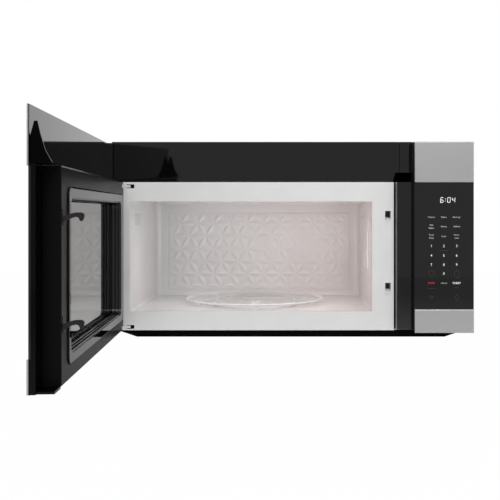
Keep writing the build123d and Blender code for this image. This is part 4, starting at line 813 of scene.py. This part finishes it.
def window_well():
    """Moulded wall of the recess with four soft steps, and three black bands of painted shade on it: over
    the share of the way from ring to pane, the offset falls evenly and swings as a sine of four turns cut
    off flat. Each band is a straight strip between two shares of that way."""
    turns, places = 4, 81
    share = np.linspace(0, 1, places)
    swing = np.clip(1.7 * np.sin(2 * turns * math.pi * share), -1, 1)
    offset = (1.3 - WELL_LEAN * share + 0.75 * swing) * MM
    depth = (WELL_START - WELL_FALL * share) * MM
    front = np.stack([offset, depth], axis=1)
    back = np.array([(3.0 * MM, depth[-1]), (3.0 * MM, depth[0])])
    path, outward = rounded_path(WINDOW_X, WINDOW_Z, WINDOW_CORNER)
    section = np.concatenate([front, back])
    well = swept("window_well", path, outward, section, WELL, "door")
    # three matt black bands of painted shade along the creases of the steps
    for name, ends in {"outer": (0.21, 0.28), "middle": (0.49, 0.54), "inner": (0.86, 0.94)}.items():
        first, last = [(0.1 - WELL_LEAN * end, WELL_START - WELL_FALL * end) for end in ends]
        stripe = np.array([(2.4, first[1]), first, last, (2.4, last[1])]) * MM
        shade_band = swept("well_seal_" + name, path, outward, stripe, SHADE_BLACK, "door")


def ring_groove_shade():
    """Black strip round the ring: painted shade for the shadow of its groove."""
    path, outward = rounded_path(RING_X, RING_Z, WINDOW_CORNER)
    # painted shade: a matt black band standing slightly proud along the ring's edge
    section = np.array([(0.05, 36.8), (0.9, 36.8), (1.5, 38.2), (0.8, 38.8), (0.05, 38.6)]) * MM
    shade_band = swept("ring_groove_shade", path, outward, section, SHADE_BLACK, "door")


window_well()
ring_groove_shade()


def recess_shade_blocks():
    """Black blocks of painted shade in three gaps: under the short end of the fascia, beside it and over
    the control housing, and between the white frame and its lip."""
    under = [(221.6, 330.6), (256.4, 330.6), (256.4, 347.6), (224.5, 347.6), (223.0, 340.0)]
    beside = [
        (253.2, 340.0), (256.5, 340.0), (256.5, 410.6), (264.0, 410.6), (264.0, 413.2), (253.2, 413.2),
    ]
    slot = [(218.5, 17.5), (222.45, 17.5), (222.45, 327.6), (218.5, 327.6)]
    # each block is near-black painted shade filling a gap where shadow falls
    blocks = {"under": (under, 50, 70), "beside": (beside, 48, 60), "slot": (slot, 41.4, 50)}
    for name, (outline, front, back) in blocks.items():
        limits = (front * MM, back * MM)
        block = prism("foam_" + name, np.array(outline) * MM, limits, 1, SHADE_BLACK, "cabinet")


recess_shade_blocks()


def edge_bead():
    """Rounded upper edge of the door's inner moulding: a circle carried along the door."""
    angle = np.linspace(0, 2 * math.pi, 16, endpoint=False)
    circle = (BEAD_CENTRE + BEAD_RADIUS * np.stack([np.cos(angle), np.sin(angle)], axis=1)) * MM
    bead = prism("inner_edge_bead", circle, BEAD_X, 0, GLOSS, "door", True)


edge_bead()

# Underside and top -------------------------------------------------------------------------


def filter_mesh(side):
    """Expanded metal in a grease filter's lower frame: the absolute product of two crossed
    sines makes diamonds; strands hang low where it is small, and holes go up where it is large."""
    low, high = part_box("grease_filter_" + side)
    x = np.linspace(low.x + FILTER_RIM, high.x - FILTER_RIM, 190)
    y = np.linspace(low.y + FILTER_RIM, high.y - FILTER_RIM, 150)
    grid_x, grid_y = np.meshgrid(x, y)
    across, along = grid_x / DIAMOND[0], grid_y / DIAMOND[1]
    crossed = np.sin(math.pi * (across + along)) * np.sin(math.pi * (across - along))
    hole = np.clip((np.abs(crossed) - STRAND_EDGE) * STRAND_SLOPE, 0, 1)
    inside = np.clip(from_border(grid_x, grid_y) / (1.5 * MM), 0, 1)
    height = STRAND_LEVEL + (HOLE_LEVEL - STRAND_LEVEL) * (1 - inside + inside * hole)
    under = np.stack([grid_x, grid_y, height], axis=-1)
    top = np.stack([grid_x, grid_y, np.full_like(grid_x, HOLE_LEVEL + 0.3 * MM)], axis=-1)
    made = slab("filter_mesh_" + side, under, top, EXPANDED, "cabinet")


filter_mesh("left")
filter_mesh("right")


def screw_heads():
    """Pan-head screws with a cross recess on the case's top: the height is the square root of
    one minus the radius share to the fourth power, less a dip wherever a bar of the cross is
    near. A flat grid of places under each head closes it."""
    low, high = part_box("case_screws")
    tall = high.z - low.z
    rings, steps = 16, 48
    angle = np.linspace(0, 2 * math.pi, steps, endpoint=False)
    share, turn = np.meshgrid(np.linspace(0, 1, rings), angle, indexing="ij")
    across = share * SCREW_RADIUS * np.cos(turn)
    along = share * SCREW_RADIUS * np.sin(turn)
    nearest = np.minimum(np.abs(across), np.abs(along))
    bars = np.clip((CROSS_HALF - nearest) / CROSS_SLOPE, 0, 1)
    cross = bars * np.clip((CROSS_REACH - share) * 8, 0, 1)
    height = low.z + tall * (np.sqrt(1 - share ** 4) * (1 - 0.25 * cross) - 0.5 * cross)
    over = np.stack([across, along, height], axis=-1)
    under = np.stack([across, along, np.full_like(height, low.z)], axis=-1)[::-1]
    head = np.concatenate([over, under])
    faces = grid_faces(2 * rings, steps, wrap_columns=True)
    joined = np.concatenate([head + np.array([x, y, 0]) * MM for x, y in SCREW_PLACES]).reshape(-1, 3)
    starts = np.arange(len(SCREW_PLACES)) * 2 * rings * steps
    together = np.concatenate([faces + start for start in starts])
    made = mesh_object("case_screw_heads", joined.tolist(), together.tolist(), ZINC, "cabinet")
    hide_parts("case_screws")


screw_heads()

# Turntable tray ----------------------------------------------------------------------------


def tray():
    """Pressed glass tray with a rolled rim, a drip step and three low rings in its floor."""
    centre = (*TRAY_CENTRE, TRAY_LOW.z)
    outer = TRAY_RADIUS
    tall = TRAY_HIGH.z - TRAY_LOW.z
    floor = outer - 27 * MM
    under = [(0, 0), (floor, 0), (floor + 8 * MM, 0.4 * MM), (outer - 4 * MM, tall - 4.2 * MM)]
    rim = [(outer - 0.6 * MM, tall - 3 * MM), (outer, tall - 1.8 * MM), (outer - 0.5 * MM, tall - 0.5 * MM)]
    lip = [(outer - 1.8 * MM, tall), (outer - 3.4 * MM, tall - 0.4 * MM), (outer - 6 * MM, tall - 1.8 * MM)]
    inner = [(floor + 7 * MM, 3.8 * MM), (floor - 1 * MM, 3.2 * MM), (floor - 5 * MM, 3.0 * MM)]
    rings = []
    for radius in (outer * 0.66, outer * 0.44, outer * 0.22):
        for offset, height in ((1.6, 3.0), (0.6, 3.5), (-0.6, 3.5), (-1.6, 3.0)):
            rings.append((radius + offset * MM, height * MM))
    section = under + rim + lip + inner + rings + [(0, 3.0 * MM)]
    made = turned("pressed_glass_tray", section, centre, 160, TRAY_GLASS, "turntable")
    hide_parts("glass_tray")


tray()

# Control legends ---------------------------------------------------------------------------

glass_front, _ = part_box("control_glass")
PRINT_Y = glass_front.y - 0.04 * MM
TEXT_SIZE = 1.38      # text size for a capital one high


def level(height):
    """Shared Z of a height over the pan's underside, given in millimetres."""
    return height * MM - ORIGIN_HEIGHT


def lettering(name, pieces, material):
    """Generic words and numbers as thin raised print. Each piece is text, centre x, centre z
    and letter height; all of them are joined into one mesh."""
    points, faces = [], []
    for words, x, z, tall in pieces:
        curve = bpy.data.curves.new(name, "FONT")
        curve.body = words
        curve.align_x = "CENTER"
        curve.align_y = "CENTER"
        curve.size = tall * TEXT_SIZE
        curve.extrude = 0.02 * MM
        curve.space_line = 1.5
        curve.resolution_u = 3
        holder = bpy.data.objects.new(name, curve)
        bpy.context.scene.collection.objects.link(holder)
        flat = bpy.data.meshes.new_from_object(holder)
        bpy.data.objects.remove(holder)
        start = len(points)
        for vertex in flat.vertices:
            points.append((x + vertex.co.x, PRINT_Y - vertex.co.z, z + vertex.co.y))
        faces.extend([start + index for index in polygon.vertices] for polygon in flat.polygons)
        bpy.data.meshes.remove(flat)
    made = mesh_object(name, points, faces, material, "cabinet", smooth=False)


digits = []
for number, (column, height) in {
    "1": (0, 194), "2": (1, 194), "3": (2, 194),
    "4": (0, 174), "5": (1, 174), "6": (2, 174),
    "7": (0, 155), "8": (1, 155), "9": (2, 155),
    "0": (1, 136.9),
}.items():
    digits.append((number, COLUMNS[column], level(height), 5.2 * MM))
START_KEY = ("START", COLUMNS[2], level(116.8), 4.3 * MM)
lettering("keypad_numbers", digits + [START_KEY], INK_WHITE_PAINTED_GLOW)
lettering("stop_key", [("STOP", COLUMNS[0], level(116.8), 4.2 * MM)], INK_RED_PAINTED_GLOW)

KEY_ROWS = {
    253.8: ("Popcorn", "Potato", "Beverage"),
    234.3: ("Melt\nSoften", "Reheat", "Defrost"),
    213.8: ("Timer\nClock", "Cook", "Power\nLevel"),
    116.8: ("", "+30 sec", ""),
}
key_words = []
for height, words in KEY_ROWS.items():
    for column, word in enumerate(words):
        key_words.append((word, COLUMNS[column], level(height), 3.1 * MM))
lettering("key_words", key_words, INK_SOFT_PAINTED_GLOW)


def plates(name, outlines, thick, material):
    """Thin flat pieces on the control glass: each outline of (x, z) corners is one face in
    front and one behind, with a side along each edge."""
    points, faces = [], []
    for outline in outlines:
        first, count = len(points), len(outline)
        for depth in (PRINT_Y, PRINT_Y + thick):
            points.extend((x, depth, z) for x, z in outline)
        faces.append([first + index for index in range(count)])
        faces.append([first + 2 * count - 1 - index for index in range(count)])
        for index in range(count):
            near, far = first + index, first + (index + 1) % count
            faces.append([far, near, near + count, far + count])
    made = mesh_object(name, points, faces, material, "cabinet", smooth=False)


def strokes(name, lines, width, material):
    """Thin printed lines: each run of places becomes flat bars, half the width to either
    side of the straight way between two neighbouring places."""
    bars = []
    for line in lines:
        for start, end in zip(line, line[1:]):
            along = np.subtract(end, start)
            side = np.array((-along[1], along[0])) / np.hypot(*along) * width / 2
            bars.append((start - side, end - side, end + side, start + side))
    plates(name, bars, 0.03 * MM, material)


def about(x, z, *steps):
    """Places that lie the given millimetres right of and above one place."""
    return np.array([(x + across * MM, z + rise * MM) for across, rise in steps])


def arc(x, z, radius, first, last, steps=12):
    """Places along part of a circle, angles in degrees."""
    angle = np.radians(np.linspace(first, last, steps))
    return np.stack([x + radius * np.cos(angle), z + radius * np.sin(angle)], axis=1)


def soft_box(x, z, wide, tall, corner):
    """A closed rectangle with rounded corners, as a run of places."""
    half_x, half_z = wide / 2 - corner, tall / 2 - corner
    quarters = []
    for side_x, side_z, first in ((1, 1, 0), (-1, 1, 90), (-1, -1, 180), (1, -1, 270)):
        quarters.append(arc(x + side_x * half_x, z + side_z * half_z, corner, first, first + 90, 4))
    outline = np.concatenate(quarters)
    return np.concatenate([outline, outline[:1]])


def key_marks():
    """Faint unlit signs: vent and lamp keys, two option keys, and rules under three keys."""
    left, middle, right = COLUMNS
    low = level(87.0)
    lines = [
        about(left, low, (-4.5, 3), (4.5, 3), (0, -3.4), (-4.5, 3)),
        arc(right, low + 1.2 * MM, 3.6 * MM, -50, 230),
        about(right, low, (-2, -2.2), (-1.6, -5.4), (1.6, -5.4), (2, -2.2)),
        soft_box(left, level(137), 11 * MM, 11 * MM, 3 * MM),
        soft_box(right, level(135), 9 * MM, 14 * MM, 2.5 * MM),
    ]
    for x, height, half in ((middle, 184.4, 8.5), (left, 105.7, 8.5), (right, 107.7, 5)):
        lines.append(about(x, level(height), (-half, 0), (half, 0)))
    strokes("faint_key_marks", lines, 0.8 * MM, INK_FAINT)


key_marks()

SEGMENTS = {"6": "afgedc", "0": "abcdef", "4": "fgbc"}
SEGMENT_PLACES = {
    "a": (0, 1, True), "b": (0.5, 0.5, False), "c": (0.5, -0.5, False), "d": (0, -1, True),
    "e": (-0.5, -0.5, False), "f": (-0.5, 0.5, False), "g": (0, 0, True),
}


def clock_digits():
    """Seven-segment time: each segment is a six-sided bar, leaning over with height."""
    wide, tall, thick, lean = 5.6 * MM, 5.0 * MM, 0.75 * MM, 0.1
    gap = 0.25 * MM
    middle = CLOCK_HEIGHT - ORIGIN_HEIGHT

    def bar(x, z, half, flat):
        tip = half - gap
        shoulder = tip - thick / 2
        upper = [(-tip, 0), (-shoulder, thick / 2), (shoulder, thick / 2)]
        lower = [(tip, 0), (shoulder, -thick / 2), (-shoulder, -thick / 2)]
        outline = upper + lower if flat else [(rise, run) for run, rise in reversed(upper + lower)]
        return [(x + a + (z + b) * lean, middle + z + b) for a, b in outline]

    bars = []
    for digit, place in (("6", -11.4), ("0", 3.2), ("4", 12.8)):
        for segment in SEGMENTS[digit]:
            x, z, flat = SEGMENT_PLACES[segment]
            half = wide / 2 if flat else tall / 2
            bars.append(bar(CLOCK_X + place * MM + x * wide, z * tall, half, flat))
    for z in (-0.45, 0.45):
        bars.append(bar(CLOCK_X - 4.2 * MM, z * tall, 1.3 * MM, False))
    plates("clock_digits", bars, 0.05 * MM, DIGIT_GLOW)


clock_digits()

# Studio ------------------------------------------------------------------------------------


FLOOR_DROP, FLOOR_HALF = 0.3, 6


def stage_floor():
    """Wide pale floor under the object; its shade is lifted to white for the camera. Seen from
    below it is clear, so that the underside shows."""
    lowest = cad_box[0].z - FLOOR_DROP
    points = [(x * FLOOR_HALF, y * FLOOR_HALF, lowest) for x, y in ((-1, -1), (1, -1), (1, 1), (-1, 1))]
    mesh = bpy.data.meshes.new("studio_floor")
    mesh.from_pydata(points, [], [(0, 1, 2, 3)])
    floor = bpy.data.objects.new("studio_floor", mesh)
    bpy.context.scene.collection.objects.link(floor)
    material, tree = finish("studio_floor")
    seen = tree.node("LightPath", outlet="Is Camera Ray")
    plain = tree.node("BsdfDiffuse", sockets={"Color": (0.85, 0.85, 0.85, 1)})
    white = tree.node("Emission", sockets={"Color": (1, 1, 1, 1), "Strength": 1.0})
    blend = tree.node("MixShader", sockets={0: seen * 0.985, 1: plain, 2: white})
    below = tree.node("NewGeometry", outlet="Backfacing")
    clear = tree.node("BsdfTransparent")
    whole = tree.node("MixShader", sockets={0: below, 1: blend, 2: clear})
    tree.node("OutputMaterial", sockets={"Surface": whole})
    mesh.materials.append(material)


stage_floor()


def studio_world():
    """White behind the object for camera rays; a softer grey room for everything else."""
    world = bpy.data.worlds.new("studio")
    world.use_nodes = True
    bpy.context.scene.world = world
    tree = Finish(world.node_tree)
    seen = tree.node("LightPath", outlet="Is Camera Ray")
    mirror = tree.node("LightPath", outlet="Is Glossy Ray")
    through = tree.node("LightPath", outlet="Is Transmission Ray")
    toward = tree.node("TexCoord", outlet="Generated")
    _, depth, _ = tree.axes(toward)
    room = tree.ramp(depth * 0.5 + 0.5, (0.0, 0.5), (0.1, 0.52), (0.5, 0.66), (0.8, 0.8))
    behind = tree.node("RGBToBW", sockets={0: room})
    plain = 0.45
    shown = seen.most(through)
    strength = shown + (1 - shown) * (mirror * behind + (1 - mirror) * plain)
    background = tree.node("Background", sockets={"Color": (1, 1, 1, 1), "Strength": strength})
    tree.node("OutputWorld", sockets={"Surface": background})


studio_world()


def softbox(name, place, aim, size, power):
    """A square soft lamp that points at a place."""
    lamp = bpy.data.lights.new(name, "AREA")
    lamp.shape = "RECTANGLE"
    lamp.size, lamp.size_y = size
    lamp.energy = power
    holder = bpy.data.objects.new(name, lamp)
    holder.location = place
    holder.rotation_euler = (Vector(aim) - Vector(place)).to_track_quat("-Z", "Y").to_euler()
    bpy.context.scene.collection.objects.link(holder)


softbox("front_high", (0.2, -2.6, 1.9), (-0.05, -0.2, 0), (2.6, 1.6), 54)
softbox("right_fill", (2.6, -1.2, 0.7), (0, -0.3, 0), (1.8, 1.8), 12)
softbox("left_fill", (-2.8, -0.8, 0.9), (0, -0.3, 0), (1.8, 1.8), 18)
lamp_x = (cavity_low.x + cavity_high.x) / 2 + 10 * MM
lamp_y = cavity_low.y + 4 * MM
lamp_z = -30 * MM
softbox("cavity_mouth", (lamp_x, lamp_y, lamp_z), (lamp_x, 0, lamp_z), (0.42, 0.19), 0.31)

# Camera ------------------------------------------------------------------------------------

FOCAL_PIXELS = 836.0
IMAGE = 500.0
PRINCIPAL = (292.0, 214.0)
EYE = (0.0027, -2.133, 0.05355)
camera_data = bpy.data.cameras.new("photo_camera")
camera_data.sensor_width = 36.0
camera_data.lens = FOCAL_PIXELS / IMAGE * camera_data.sensor_width
camera_data.shift_x = (IMAGE / 2 - PRINCIPAL[0]) / IMAGE
camera_data.shift_y = (PRINCIPAL[1] - IMAGE / 2) / IMAGE
camera = bpy.data.objects.new("photo_camera", camera_data)
camera.location = EYE
camera.rotation_euler = (math.pi / 2, 0, 0)
bpy.context.scene.collection.objects.link(camera)
bpy.context.scene.camera = camera
bpy.context.scene.view_settings.view_transform = "Standard"
